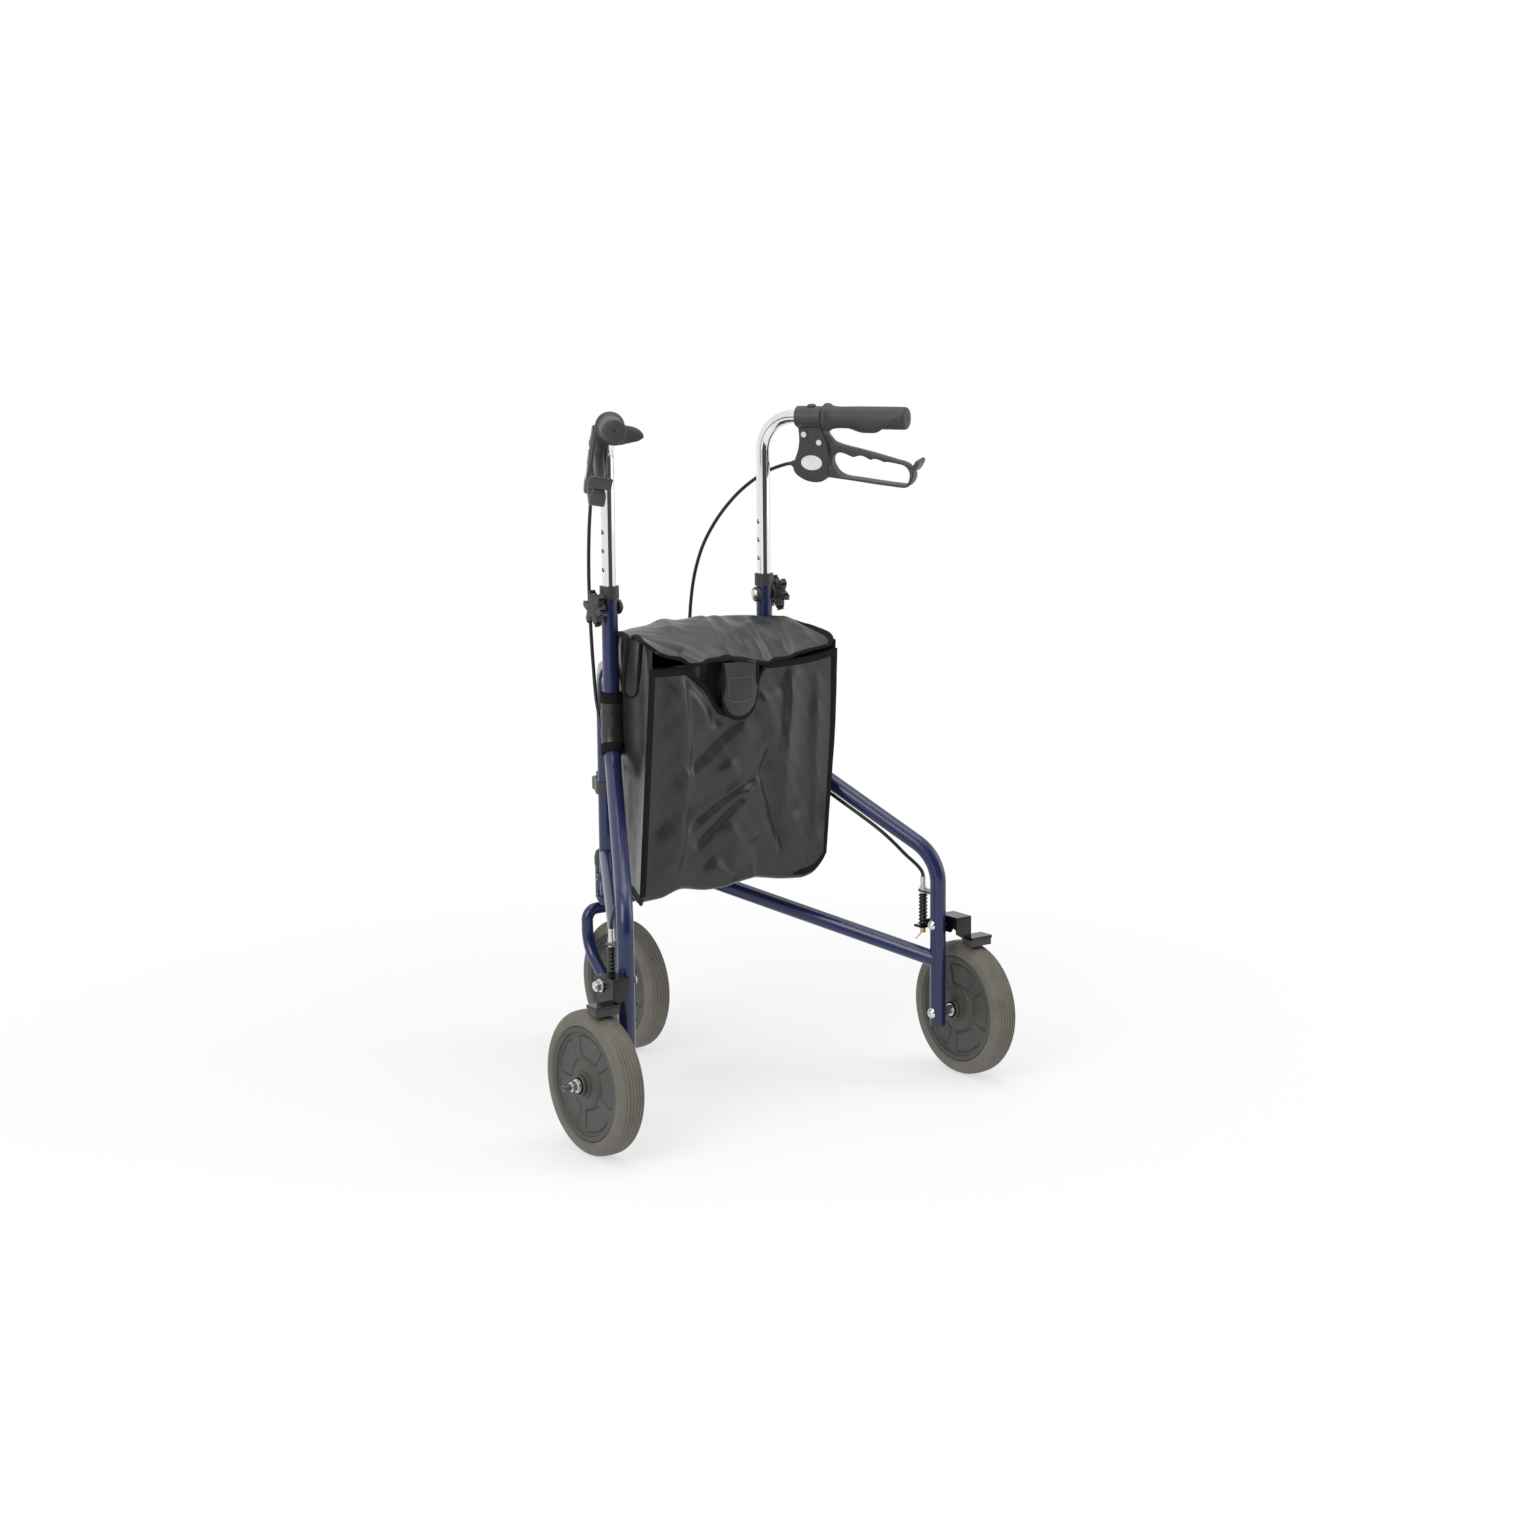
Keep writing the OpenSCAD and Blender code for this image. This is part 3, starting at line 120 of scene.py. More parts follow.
# Shapes are pairs of points and faces
def join(*shapes):
    points, faces = [], []
    for more, loops in shapes:
        base = len(points)
        points += [Vector(p) for p in more]
        faces += [tuple(i + base for i in loop) for loop in loops]
    return points, faces


def moved(shape, matrix):
    points, faces = shape
    if matrix.determinant() < 0:
        faces = [loop[::-1] for loop in faces]
    return [matrix @ Vector(p) for p in points], faces


def mirrored(shape):
    return moved(shape, Matrix.Scale(-1, 4, (1, 0, 0)))


def loft(rings, caps=True, closed=True, looped=False):
    """A skin over rings of equal count. A looped one goes on from the last ring to the first."""
    count = len(rings[0])
    points = [Vector(p) for ring in rings for p in ring]
    faces = []
    for i in range(len(rings) if looped else len(rings) - 1):
        here, there = i * count, (i + 1) % len(rings) * count
        for k in range(count if closed else count - 1):
            k2 = (k + 1) % count
            faces.append((here + k, here + k2, there + k2, there + k))
    if caps:
        last = (len(rings) - 1) * count
        faces.append(tuple(range(count))[::-1])
        faces.append(tuple(range(last, last + count)))
    return points, faces


def circle(radius, steps, height=0.0):
    turn = 2 * math.pi / steps
    return [Vector((radius * math.cos(i * turn), radius * math.sin(i * turn), height)) for i in range(steps)]


def lathe(profile, steps=48):
    """A solid turned about Z from (radius, height) pairs that rise from the lowest to the highest."""
    tiny = 0.02
    return loft([circle(max(r, tiny), steps, h) for r, h in profile])


def turned_ring(section, steps):
    """A ring turned about Z from a closed (radius, height) section, anticlockwise."""
    turns = [2 * math.pi * i / steps for i in range(steps)]
    rings = [[(r * math.cos(a), r * math.sin(a), h) for r, h in section] for a in turns]
    return loft(rings, caps=False, looped=True)


def curve_through(points, steps, closed=False):
    """A smooth curve through points of any dimension."""
    p = np.array([list(q) for q in points], float)
    n = len(p)
    out = []
    for i in range(n if closed else n - 1):
        a, b, c, d = [p[(i + k) % n] if closed else p[min(max(i + k, 0), n - 1)] for k in (-1, 0, 1, 2)]
        for t in np.arange(steps) / steps:
            out.append(0.5 * (2 * b + (c - a) * t + (2 * a - 5 * b + 4 * c - d) * t**2
                              + (3 * b - a - 3 * c + d) * t**3))
    if not closed:
        out.append(p[-1])
    return out


def sweep(path, section):
    """A closed skin along a path. section(i) gives (across, up) pairs, anticlockwise."""
    path = [Vector(p) for p in path]
    up = Z
    rings = []
    for i, p in enumerate(path):
        ahead = (path[min(i + 1, len(path) - 1)] - path[max(i - 1, 0)]).normalized()
        across = ahead.cross(up)
        if across.length < 1e-4:
            across = ahead.cross(Vector((0.3, 0.9, 0.1)))
        across.normalize()
        up = across.cross(ahead).normalized()
        rings.append([p + across * a + up * b for a, b in section(i)])
    return loft(rings)


def round_section(radius, sides=12):
    return [(p.x, p.y) for p in circle(radius, sides)]


def tube(path, radius, sides=12):
    return sweep(path, lambda i: round_section(radius, sides))


def inset(loop, by):
    """A closed outline drawn in by a distance."""
    p = np.array([list(q)[:2] for q in loop], float)
    ahead = np.roll(p, -1, 0) - np.roll(p, 1, 0)
    ahead /= np.maximum(np.linalg.norm(ahead, axis=1, keepdims=True), 1e-9)
    area = np.sum(p[:, 0] * np.roll(p[:, 1], -1) - p[:, 1] * np.roll(p[:, 0], -1))
    inward = np.stack([-ahead[:, 1], ahead[:, 0]], 1) * math.copysign(1, area)
    return p + inward * by


def plate(outline, thickness, edge, holes=(), rounds=3):
    """A flat shape in the XY plane with rounded edges, centred on Z = 0."""
    data = bpy.data.curves.new("plate", "CURVE")
    data.dimensions = "2D"
    data.fill_mode = "BOTH"
    data.extrude = thickness / 2 - edge
    data.bevel_depth = edge
    data.bevel_resolution = rounds
    for loop in [inset(outline, edge)] + [inset(h, -edge) for h in holes]:
        spline = data.splines.new("POLY")
        spline.points.add(len(loop) - 1)
        spline.points.foreach_set("co", np.c_[loop, np.zeros(len(loop)), np.ones(len(loop))].ravel())
        spline.use_cyclic_u = True
    obj = bpy.data.objects.new("plate", data)
    bpy.context.scene.collection.objects.link(obj)
    mesh = bpy.data.meshes.new_from_object(obj.evaluated_get(bpy.context.evaluated_depsgraph_get()))
    bm = bmesh.new()
    bm.from_mesh(mesh)
    bmesh.ops.remove_doubles(bm, verts=bm.verts, dist=0.01)
    bmesh.ops.recalc_face_normals(bm, faces=bm.faces)
    shape = [v.co.copy() for v in bm.verts], [tuple(v.index for v in f.verts) for f in bm.faces]
    bm.free()
    bpy.data.objects.remove(obj)
    bpy.data.curves.remove(data)
    bpy.data.meshes.remove(mesh)
    return shape


def new_object(name, shape, material, sharp=38, unit=MM):
    mesh = bpy.data.meshes.new(name)
    mesh.from_pydata([tuple(Vector(p) * unit) for p in shape[0]], [], shape[1])
    bm = bmesh.new()
    bm.from_mesh(mesh)
    bmesh.ops.recalc_face_normals(bm, faces=bm.faces)
    bm.to_mesh(mesh)
    bm.free()
    mesh.polygons.foreach_set("use_smooth", [True] * len(mesh.polygons))
    mesh.set_sharp_from_angle(angle=math.radians(sharp))
    mesh.materials.append(material)
    obj = bpy.data.objects.new(name, mesh)
    bpy.context.scene.collection.objects.link(obj)
    return obj


def piece(name, shape, material, body, stands_for=(), sharp=38, unit=MM):
    """A piece of the object that rides on a body, and the nodes that it stands for."""
    obj = new_object(name, shape, material, sharp, unit)
    if body:
        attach(obj, body)
    if stands_for:
        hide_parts(*stands_for)
    return obj


# Materials
class Nodes:
    """Shader nodes of one tree. Names of sockets are given with underscores for spaces."""

    def __init__(self, tree):
        self.tree = tree

    def set(self, node, values):
        """Puts a value or a link on each named socket. A list goes to sockets of the same name in turn."""
        for key, value in values.items():
            sockets = [s for s in node.inputs if s.name == key.replace("_", " ")]
            for socket, item in zip(sockets, value if isinstance(value, list) else [value]):
                if isinstance(item, bpy.types.NodeSocket):
                    self.tree.links.new(item, socket)
                else:
                    socket.default_value = item

    def node(self, kind, out=0, modes=(), **values):
        """A new node's output, with the node's modes as pairs of name and value."""
        node = self.tree.nodes.new("ShaderNode" + kind)
        for name, mode in modes:
            setattr(node, name, mode)
        self.set(node, values)
        return node.outputs[out]

    def spread(self, factor, low, high, modes=(), **values):
        """A value between low and high."""
        return self.node("MapRange", 0, modes, Value=factor, To_Min=low, To_Max=high, **values)


class Finish(Nodes):
    """A material whose detail follows the object's own coordinates."""

    def __init__(self, name, **values):
        self.material = bpy.data.materials.new(name)
        self.material.use_nodes = True
        super().__init__(self.material.node_tree)
        self.shader = self.tree.nodes["Principled BSDF"]
        self.place = self.node("TexCoord", "Object")
        self.set(self.shader, values)

    def noise(self, scale, detail=3.0, roughness=0.55, place=None):
        place = place or self.place
        return self.node("TexNoise", Vector=place, Scale=scale, Detail=detail, Roughness=roughness)

    def colour(self, factor, low, high):
        """A colour that wanders between two."""
        out = self.node("ValToRGB", "Color", Fac=factor)
        for element, at, shade in zip(out.node.color_ramp.elements, (0.3, 0.7), (low, high)):
            element.position = at
            element.color = (*shade, 1)
        return out

    def mottled(self, shade, share, scale):
        """A colour that wanders a little to either side."""
        low = [c * (1 - share) for c in shade]
        high = [min(c * (1 + share), 1) for c in shade]
        return self.colour(self.noise(scale, 4), low, high)

    def bump(self, height, strength, distance, **values):
        return self.node("Bump", Height=height, Strength=strength, Distance=distance, **values)

    def dress(self, **values):
        self.set(self.shader, values)
        return self.material


def srgb(r, g, b):
    """A colour as written in 0 to 255, as the linear colour that a shader takes."""
    return tuple((c / 255 / 12.92) if c <= 10 else ((c / 255 + 0.055) / 1.055) ** 2.4 for c in (r, g, b))


def frame_paint():
    f = Finish("frame_paint", Coat_Weight=0.3, Coat_Roughness=0.05, Specular_IOR_Level=0.4)
    peel = f.bump(f.noise(420, 2), 0.05, 0.2 * MM)
    return f.dress(Base_Color=f.mottled(srgb(28, 36, 78), 0.1, 9), Normal=peel,
                   Roughness=f.spread(f.noise(60), 0.2, 0.32))


def chrome():
    f = Finish("chrome", Metallic=1.0)
    drawn = f.noise(90, 4, 0.6, f.node("Mapping", Vector=f.place, Scale=(1, 1, 0.03)))
    return f.dress(Base_Color=f.colour(drawn, (0.74, 0.75, 0.76), (0.86, 0.86, 0.86)),
                   Roughness=f.spread(drawn, 0.05, 0.12), Normal=f.bump(drawn, 0.03, 0.1 * MM))


def bright_steel():
    f = Finish("bright_steel", Metallic=1.0)
    grain = f.noise(700, 3)
    return f.dress(Base_Color=f.colour(f.noise(160), (0.56, 0.56, 0.55), (0.76, 0.76, 0.75)),
                   Roughness=f.spread(grain, 0.2, 0.38), Normal=f.bump(grain, 0.08, 0.1 * MM))


def moulded(name, shade, rough, grain_scale=1500, grain=0.12):
    """A moulded plastic or rubber with a fine spark-eroded grain."""
    f = Finish(name, Specular_IOR_Level=0.45)
    fine = f.noise(grain_scale, 2)
    return f.dress(Base_Color=f.mottled(shade, 0.12, 45), Normal=f.bump(fine, grain, 0.15 * MM),
                   Roughness=f.spread(f.noise(120), rough - 0.06, rough + 0.08))


def tyre_rubber():
    f = Finish("tyre", Specular_IOR_Level=0.35)
    dust = f.noise(38, 5, 0.65)
    fine = f.noise(1100, 3)
    return f.dress(Base_Color=f.colour(dust, srgb(96, 93, 85), srgb(112, 108, 99)),
                   Roughness=f.spread(dust, 0.5, 0.68), Normal=f.bump(fine, 0.12, 0.2 * MM))


def brass():
    f = Finish("brass", Metallic=1.0)
    grain = f.noise(500, 3)
    return f.dress(Base_Color=f.colour(grain, (0.62, 0.42, 0.14), (0.8, 0.6, 0.28)),
                   Roughness=f.spread(grain, 0.22, 0.4))


def vinyl():
    """Coated cloth: a satin skin with a fine leather grain."""
    f = Finish("bag_vinyl", Specular_IOR_Level=0.5, Sheen_Weight=0.05, Sheen_Roughness=0.4)
    grain = f.node("TexVoronoi", Vector=f.place, Scale=900.0)
    worn = f.noise(22, 5, 0.6)
    skin = f.bump(f.noise(260, 3), 0.1, 0.5 * MM)
    return f.dress(Base_Color=f.colour(worn, srgb(31, 33, 32), srgb(39, 41, 40)),
                   Roughness=f.spread(worn, 0.3, 0.42), Normal=f.bump(grain, 0.12, 0.12 * MM, Normal=skin))


def woven_tape():
    """Woven binding tape."""
    f = Finish("bag_binding", Specular_IOR_Level=0.2)
    weave = f.node("TexWave", "Fac", Vector=f.place, Scale=420.0, Distortion=0.6, Detail=1.0)
    fuzz = f.noise(600, 3)
    return f.dress(Base_Color=f.colour(fuzz, srgb(13, 13, 12), srgb(22, 21, 20)),
                   Roughness=f.spread(fuzz, 0.72, 0.9), Normal=f.bump(weave, 0.3, 0.2 * MM))


FINISHES = {
    "frame_paint": frame_paint(),
    "chrome": chrome(),
    "bright_steel": bright_steel(),
    "black_plastic": moulded("black_plastic", srgb(53, 54, 53), 0.42),
    "black_paint": moulded("black_paint", srgb(9, 9, 10), 0.17, 420, 0.03),
    "hub_plastic": moulded("hub_plastic", srgb(66, 68, 63), 0.5),
    "tyre": tyre_rubber(),
    "grip_rubber": moulded("grip_rubber", srgb(52, 53, 52), 0.55, 900, 0.2),
    "cable_jacket": moulded("cable_jacket", srgb(24, 24, 23), 0.4),
    "boot_rubber": moulded("boot_rubber", srgb(20, 20, 20), 0.34),
    "brass": brass(),
    "bag_vinyl": vinyl(),
    "bag_binding": woven_tape(),
    "badge": moulded("badge", srgb(222, 224, 226), 0.3, 600, 0.03),
    "thread": moulded("thread", srgb(92, 92, 88), 0.7),
}


def sided(name, shape, slot, side, body, stands_for=(), finish=None, sharp=38):
    """A piece made for the right-hand side, put on the chosen one. Names get the side's name in front."""
    shape = shape if SIDES[side] > 0 else mirrored(shape)
    nodes = [f"{side}_{n}" for n in stands_for]
    carrier = body and f"{side}_{body}"
    return piece(f"{side}_{name}_skin", shape, FINISHES[finish or slot], carrier, nodes, sharp)


# CAD nodes keep their shapes. They take the finish of their slot, and the small parts get softened edges.
REPAINTED = {"link_bolt": "black_paint", "brake_shoe": "black_plastic"}
SOFT_EDGES = {"collar": 1.2, "brake_arm": 0.7, "brake_shoe": 1.0, "upper_link": 1.0, "head_cap": 1.2,
              "link_bolt": 0.5, "brake_pivot": 0.5, "axle": 0.5, "front_axle": 0.5, "cable_adjuster": 0.4}


def soften(obj, width):
    bevel = obj.modifiers.new("edges", "BEVEL")
    bevel.width = width
    bevel.segments = 2
    bevel.limit_method = "ANGLE"
    bevel.angle_limit = math.radians(40)
    bevel.harden_normals = False


for name, obj in NODES.items():
    kind = name.removeprefix("left_").removeprefix("right_")
    materials = obj.data.materials
    slot = REPAINTED.get(kind, materials[0].name)
    materials.clear()
    materials.append(FINISHES[slot])
    if kind in SOFT_EDGES:
        soften(obj, SOFT_EDGES[kind] * MM)


# Brake cables
CABLE_ROUTE = [(267, 19.5, 854.2), (258, 19.5, 854.2), (246, 19.5, 852.5), (220, 20, 843),
               (192, 20.5, 826), (166, 21, 804), (140, 22, 774), (118, 22.5, 738), (104, 22.5, 698),
               (97, 21.5, 655), (95, 20, 610), (98, 18, 570), (106, 15.5, 530), (122, 10, 496),
               (150, 5, 469), (184, 2, 455), (217, 1, 449), (247, 0, 439), (300, 0, 408.5),
               (343, 0, 382.5), (388, 0, 354.5), (413, 2, 335), (432, 7, 315.5), (446, 12.5, 301.5),
               (453, 15.8, 292), (455.3, 16.4, 284), (455.3, 16.4, 275)]


def brake_cable(side):
    route = [in_frame(*p) for p in CABLE_ROUTE]
    shape = tube(curve_through(route, 5), CABLE_R, 14)
    obj = sided("brake_cable", shape, "cable_jacket", side, None, ["brake_cable"])
    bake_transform(obj)


for side in SIDES:
    brake_cable(side)


# Wheels
WHEELS = {"front": ("front_wheel", 20.5), "left": ("left_wheel", 25.0), "right": ("right_wheel", 25.0)}
TREAD_GROOVES = (-11.5, -7.0, -2.4, 2.4, 7.0, 11.5)
GROOVE = ((-1.15, 0.0), (-0.8, 0.2), (-0.4, 1.0), (0.4, 1.0), (0.8, 0.2), (1.15, 0.0))
GROOVE_CLEAR = 1.3
CROWN_HALF, CROWN_FALL = 7, 0.4
SHOULDER_AT, SHOULDER_R = 83, 12
TYRE_WALL = [(75.0, 15.5), (75.4, 17.0), (76.6, 18.3), (79.0, 18.9), (81.5, 19.0)]
HUB_FACE = [(13.6, 19.6), (16.2, 19.2), (17.0, 18.4), (17.3, 16.6), (19.0, 16.0), (29.6, 15.8), (31.0, 15.0),
            (31.8, 13.8), (66.0, 13.7), (67.0, 14.2), (68.4, 16.8), (70.0, 17.1), (74.0, 17.1), (74.8, 16.4)]
HUB_FINE_R = [32.4, 33, 33.4, 33.8, 34.2, 34.6, 35.2, 36, 37, 38.2, 40, 44, 48, 52, 55, 58, 59.4, 60.6, 61.6,
              62.2, 62.7, 63.1, 63.5, 64, 64.8]
HUB_WEB_R = (31.9, 65.9)
SECTORS = 5
SECTOR_HALF = math.radians(26.5)
SECTOR_MIDDLE = math.radians(102)
SECTOR_R = (34.0, 63.0)
SECTOR_CORNER = 4.0
SECTOR_DEPTH, SECTOR_GROOVE = 0.6, 1.7


def middle_of(node):
    low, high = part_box(node)
    return (low + high) / 2 * METRE


def across_axes(at):
    """Axes whose Z runs to the right."""
    return basis(at, Y, Z, X)


def tread_radius(h):
    """The tyre's outline: a flat crown and round shoulders."""
    past = max(abs(h) - CROWN_HALF, 0)
    fall = CROWN_FALL * min(abs(h) / CROWN_HALF, 1) ** 2
    return SHOULDER_AT + math.sqrt(max(SHOULDER_R**2 - past * past, 0)) - fall


def tyre_section():
    """The tyre's closed section, as pairs of radius and distance from its middle plane."""
    side = CROWN_HALF + SHOULDER_R * np.cos(np.linspace(np.pi / 2, 0.15, 12))
    crown = np.linspace(0.5 - CROWN_HALF, CROWN_HALF - 0.5, 14)
    places = np.concatenate([-side[::-1], crown, side])
    outer = [(h, 0.0) for h in places if min(abs(h - g) for g in TREAD_GROOVES) > GROOVE_CLEAR]
    outer += [(g + off, cut) for g in TREAD_GROOVES for off, cut in GROOVE]
    outer = [(tread_radius(h) - cut, h) for h, cut in sorted(outer)]
    return [(r, -h) for r, h in TYRE_WALL] + outer + TYRE_WALL[::-1]


def tyre(name, body):
    shape = moved(turned_ring(tyre_section(), 144), across_axes(middle_of(f"{name}_tyre")))
    piece(f"{name}_tyre_skin", shape, FINISHES["tyre"], body, [f"{name}_tyre"], 50)


def sector_cut(r, angle):
    """Depth of the five moulded sectors in the hub's face."""
    turn = 2 * math.pi / SECTORS
    a = abs((angle - SECTOR_MIDDLE + turn / 2) % turn - turn / 2)
    low, high = SECTOR_R
    inside = r * math.sin(SECTOR_HALF - a), (high - low) / 2 - abs(r - (low + high) / 2)
    q = [SECTOR_CORNER - v for v in inside]
    sd = math.hypot(max(q[0], 0), max(q[1], 0)) + min(max(q), 0) - SECTOR_CORNER
    pocket = SECTOR_DEPTH * min(max(0.5 - sd / 1.2, 0), 1)
    return pocket + SECTOR_GROOVE * math.exp(-((sd / 1.0) ** 2))


def hub_angles():
    """Angles round the hub, close together where a sector's edge lies."""
    half = 180 / SECTORS
    offsets = list(np.arange(-half, half, 4.0))
    edge = math.degrees(SECTOR_HALF)
    near = [-5.5, -4, -3, -2.2, -1.6, -1.0, -0.5, 0, 0.5, 1.0, 1.6, 2.4, 3.4]
    offsets += [edge + d for d in near] + [-edge - d for d in near]
    angles = [SECTOR_MIDDLE + math.radians(2 * half * k + o) for k in range(SECTORS) for o in sorted(offsets)]
    return [a for a, b in zip(angles, angles[1:] + [angles[0] + 2 * math.pi]) if b - a > 1e-4]


def hub(name, body, nose):
    """A hub whose two faces carry moulded sectors. It is made in metres, to lie flush with its bearings."""
    profile = [(4.3, nose), (12.6, nose), (13.4, nose - 0.8)] + HUB_FACE
    radii = sorted({r for r, h in profile} | set(HUB_FINE_R))
    heights = np.interp(radii, *zip(*profile))
    angles = hub_angles()
    low, high = HUB_WEB_R
    rings = []
    for way in (1, -1):
        for r, h in list(zip(radii, heights))[::way]:
            cuts = [sector_cut(r, a) if low < r < high else 0.0 for a in angles]
            ring = [(r * math.cos(a), r * math.sin(a), way * (h - c)) for a, c in zip(angles, cuts)]
            rings.append([Vector(p) * MM for p in ring])
    near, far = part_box(f"{name}_hub")
    shape = moved(loft(rings, caps=False, looped=True), across_axes((near + far) / 2))
    piece(f"{name}_hub_skin", shape, FINISHES["hub_plastic"], body, [f"{name}_hub"], 30, 1)


def thread_end(side):
    """The blackened thread that stands out of the axle's nut."""
    low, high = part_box(f"{side}_axle")
    tip = max(abs(low.x), abs(high.x)) * METRE
    pitch, turns, crest, root = 1.25, 9, 4.25, 3.7
    profile = [(2.4, 0.35), (3.2, 0.3)]
    for k in range(turns):
        profile += [(root, -k * pitch), (crest, -(k + 0.5) * pitch)]
    at = middle_of(f"{side}_hub")
    shape = moved(lathe(profile[::-1], 28), across_axes(Vector((tip, at.y, at.z))))
    sided("thread_end", shape, "black_paint", side, "frame")


# Grips
# One moulding serves both hands: its flap is on the right as seen from behind, and a ridge winds on from it.
GRIP_TURN = {"left": 13, "right": 10}
FLAP_HEIGHT = [(-222, 0.0), (-180, 1.6), (-135, 3.2), (-100, 5.2), (-80, 6.8), (-60, 11.0), (-48, 16.0),
               (-38, 23.0), (-30, 27.5), (-24, 26.0), (-17, 21.0), (-12, 15.5), (-7, 9.0), (-2, 4.0),
               (5, 1.0), (12, 0.0)]
FLAP_REAR = [(-222, 437), (-180, 424), (-135, 407), (-90, 390), (-60, 379), (-30, 372), (0, 368)]
FLAP_FRONT = [(-222, 400), (-180, 376), (-135, 358), (-90, 348), (-60, 345), (0, 343)]
FLAP_STEEP = 16
FLAP_RISE = (34, 12)
FLAP_FALL = (2.6, 6.6)
GRIP_END = 438
GRIP_BODY = [(316.0, 16.0), (316.4, 17.9), (317.6, 19.2), (321, 19.5), (323, 19.0), (325, 17.4),
             (328, 16.1), (333, 15.2), (340, 14.8), (350, 15.0), (365, 15.4), (425, 15.6), (433, 15.5),
             (436, 15.0), (437.5, 13.6), (GRIP_END, 11.6)]


def along(table, at):
    return np.interp(at, *zip(*table))


def flap(turn, u):
    """Height of the palm flap and its ridge above the grip."""
    front, rear = along(FLAP_FRONT, turn), along(FLAP_REAR, turn)
    height = along(FLAP_HEIGHT, turn)
    steep = np.clip(height / FLAP_STEEP, 0, 1)
    rise = np.clip((u - front) / np.interp(steep, (0, 1), FLAP_RISE), 0, 1)
    fall = np.clip((rear - u) / np.interp(steep, (0, 1), FLAP_FALL), 0, 1)
    return height * np.sin(rise * np.pi / 2) ** 1.4 * np.sin(fall * np.pi / 2)


def grip(side):
    """A rubber grip with a flange in front and a palm flap."""
    reach = [u for u, r in GRIP_BODY[:9]] + list(np.arange(341.5, 434, 1.5)) + [u for u, r in GRIP_BODY[-4:]]
    turns = np.concatenate([np.arange(-222, -60, 3.0), np.arange(-60, 0, 1.5), np.arange(0, 138, 3.0)])
    polar = np.radians(turns + GRIP_TURN[side])
    out = np.cos(polar) * SIDES[side]
    rings = []
    for u in reach:
        radius = along(GRIP_BODY, u) + flap(turns, u) * (1 if u < GRIP_END else 0.4)
        rings.append([in_frame(u, r * a, HANDLE_Z + r * b) for r, a, b in zip(radius, out, np.sin(polar))])
    last = rings[-1]
    centre = in_frame(GRIP_END, 0, HANDLE_Z)
    for share, sink in ((0.6, 0.2), (0.3, 0.2), (0.14, 0.1), (0.1, -1.4), (0.02, -1.8)):
        back = in_frame(GRIP_END + sink, 0, HANDLE_Z) - centre
        rings.append([centre + (p - centre) * share + back for p in last])
    sided("grip", loft(rings[::-1]), "grip_rubber", side, "handle", ["grip"], sharp=50)


# Brakes at the handles, drawn as seen on the brake's own plane
HOUSING_EDGE = [(3, -2), (3.4, -12), (4.3, -24), (3.6, -36), (0.6, -48), (-4.2, -59), (-8, -70),
                (-5.5, -79), (2, -85.5), (12, -90), (24, -92), (34, -90.5), (41, -86), (44.5, -78),
                (46.5, -68), (48, -56), (47.6, -44), (45.4, -32), (42, -22), (39.6, -12), (39, -2)]
HOUSING_T, HOUSING_EDGE_R = 24.0, 3.2
BOSS_T = 1.0
OVAL_AT, OVAL_R = (21.6, -63.7), (15.8, 10.5)
RIVETS = ((13, -24), (35, -35))
RIVET_BOSS_R = (6.6, 6.6)
CLAMP_SECTION = [(9.7, 4.6), (14.2, 4.0), (15.0, 4.8), (15.0, 42.4), (14.3, 43.2), (9.7, 43.2)]
CLAMP_SCREW_AT = (26, 0, 0)
CLAMP_SCREW = [(6.0, 13.4), (6.2, 15), (5.9, 16.6), (5.0, 17.4), (2.6, 17.6), (2.4, 16.2), (0.1, 16.2)]
FERRULE_AT = (-7, BRAKE_OUT, -68)
FERRULE = [(4.8, -6), (4.6, 1), (4.2, 1.6), (4.2, 3), (4.6, 3.4), (4.6, 5), (3.4, 7), (2.8, 9)]
LEVER_OUTER = [(36, -28.5), (42, -24.5), (46.5, -27.5), (53, -35.1), (61, -38.5), (69.5, -41.1),
               (94, -46.5), (119, -52.5), (143.4, -59.1), (154.1, -61.7), (161.6, -65), (167.7, -71),
               (170.2, -78.5), (168.2, -87.1), (163.2, -93.9), (156.7, -96.7), (146.8, -96.2),
               (119, -93.3), (90, -89.7), (70, -87.3), (52, -85.3), (42, -82.8), (38, -70.7),
               (36, -52.5), (35, -38.5)]
LEVER_HOLE = [(49.8, -64.5), (51, -57.5), (55, -52.5), (61.5, -50.1), (68, -50.9), (76, -54.1),
              (82.2, -56.1), (86, -54.9), (93.5, -53.7), (100, -55.9), (106.8, -59.3), (110, -58.3),
              (115.5, -58.1), (122, -60.1), (127.5, -62.1), (131, -61.7), (138, -62.5), (148, -64.3),
              (154.9, -65.9), (160.1, -69.5), (163.4, -74.5), (164.6, -80), (162.7, -87.7),
              (157.6, -92.9), (146.8, -93.1), (119, -90.3), (90, -86.7), (72, -84.7), (62, -82.1),
              (54.6, -76.6), (51, -70.1)]
LEVER_W, LEVER_EDGE_R = 20.0, 2.1
LOOP_MIDDLE, LOOP_SLOPE = (60, -67.5), -0.09
LOOP_CHANGE, LOOP_NARROWS = 14, 0.36
PADDLE = ((170.5, -73.5), (180.0, -58.0))
PADDLE_W, PADDLE_T = 30.0, 3.4


def brake_ways():
    """Directions at the brake: back along the handle, outboard, and up."""
    o = at_brake(0, 0, 0)
    return [at_brake(*way) - o for way in ((1, 0, 0), (0, 1, 0), (0, 0, 1))]


def brake_plane(out):
    """Axes with X back along the handle, Y up and Z inboard, at a distance outboard of the handle."""
    back, _, up = brake_ways()
    return basis(at_brake(0, out, 0), back, up, back.cross(up))


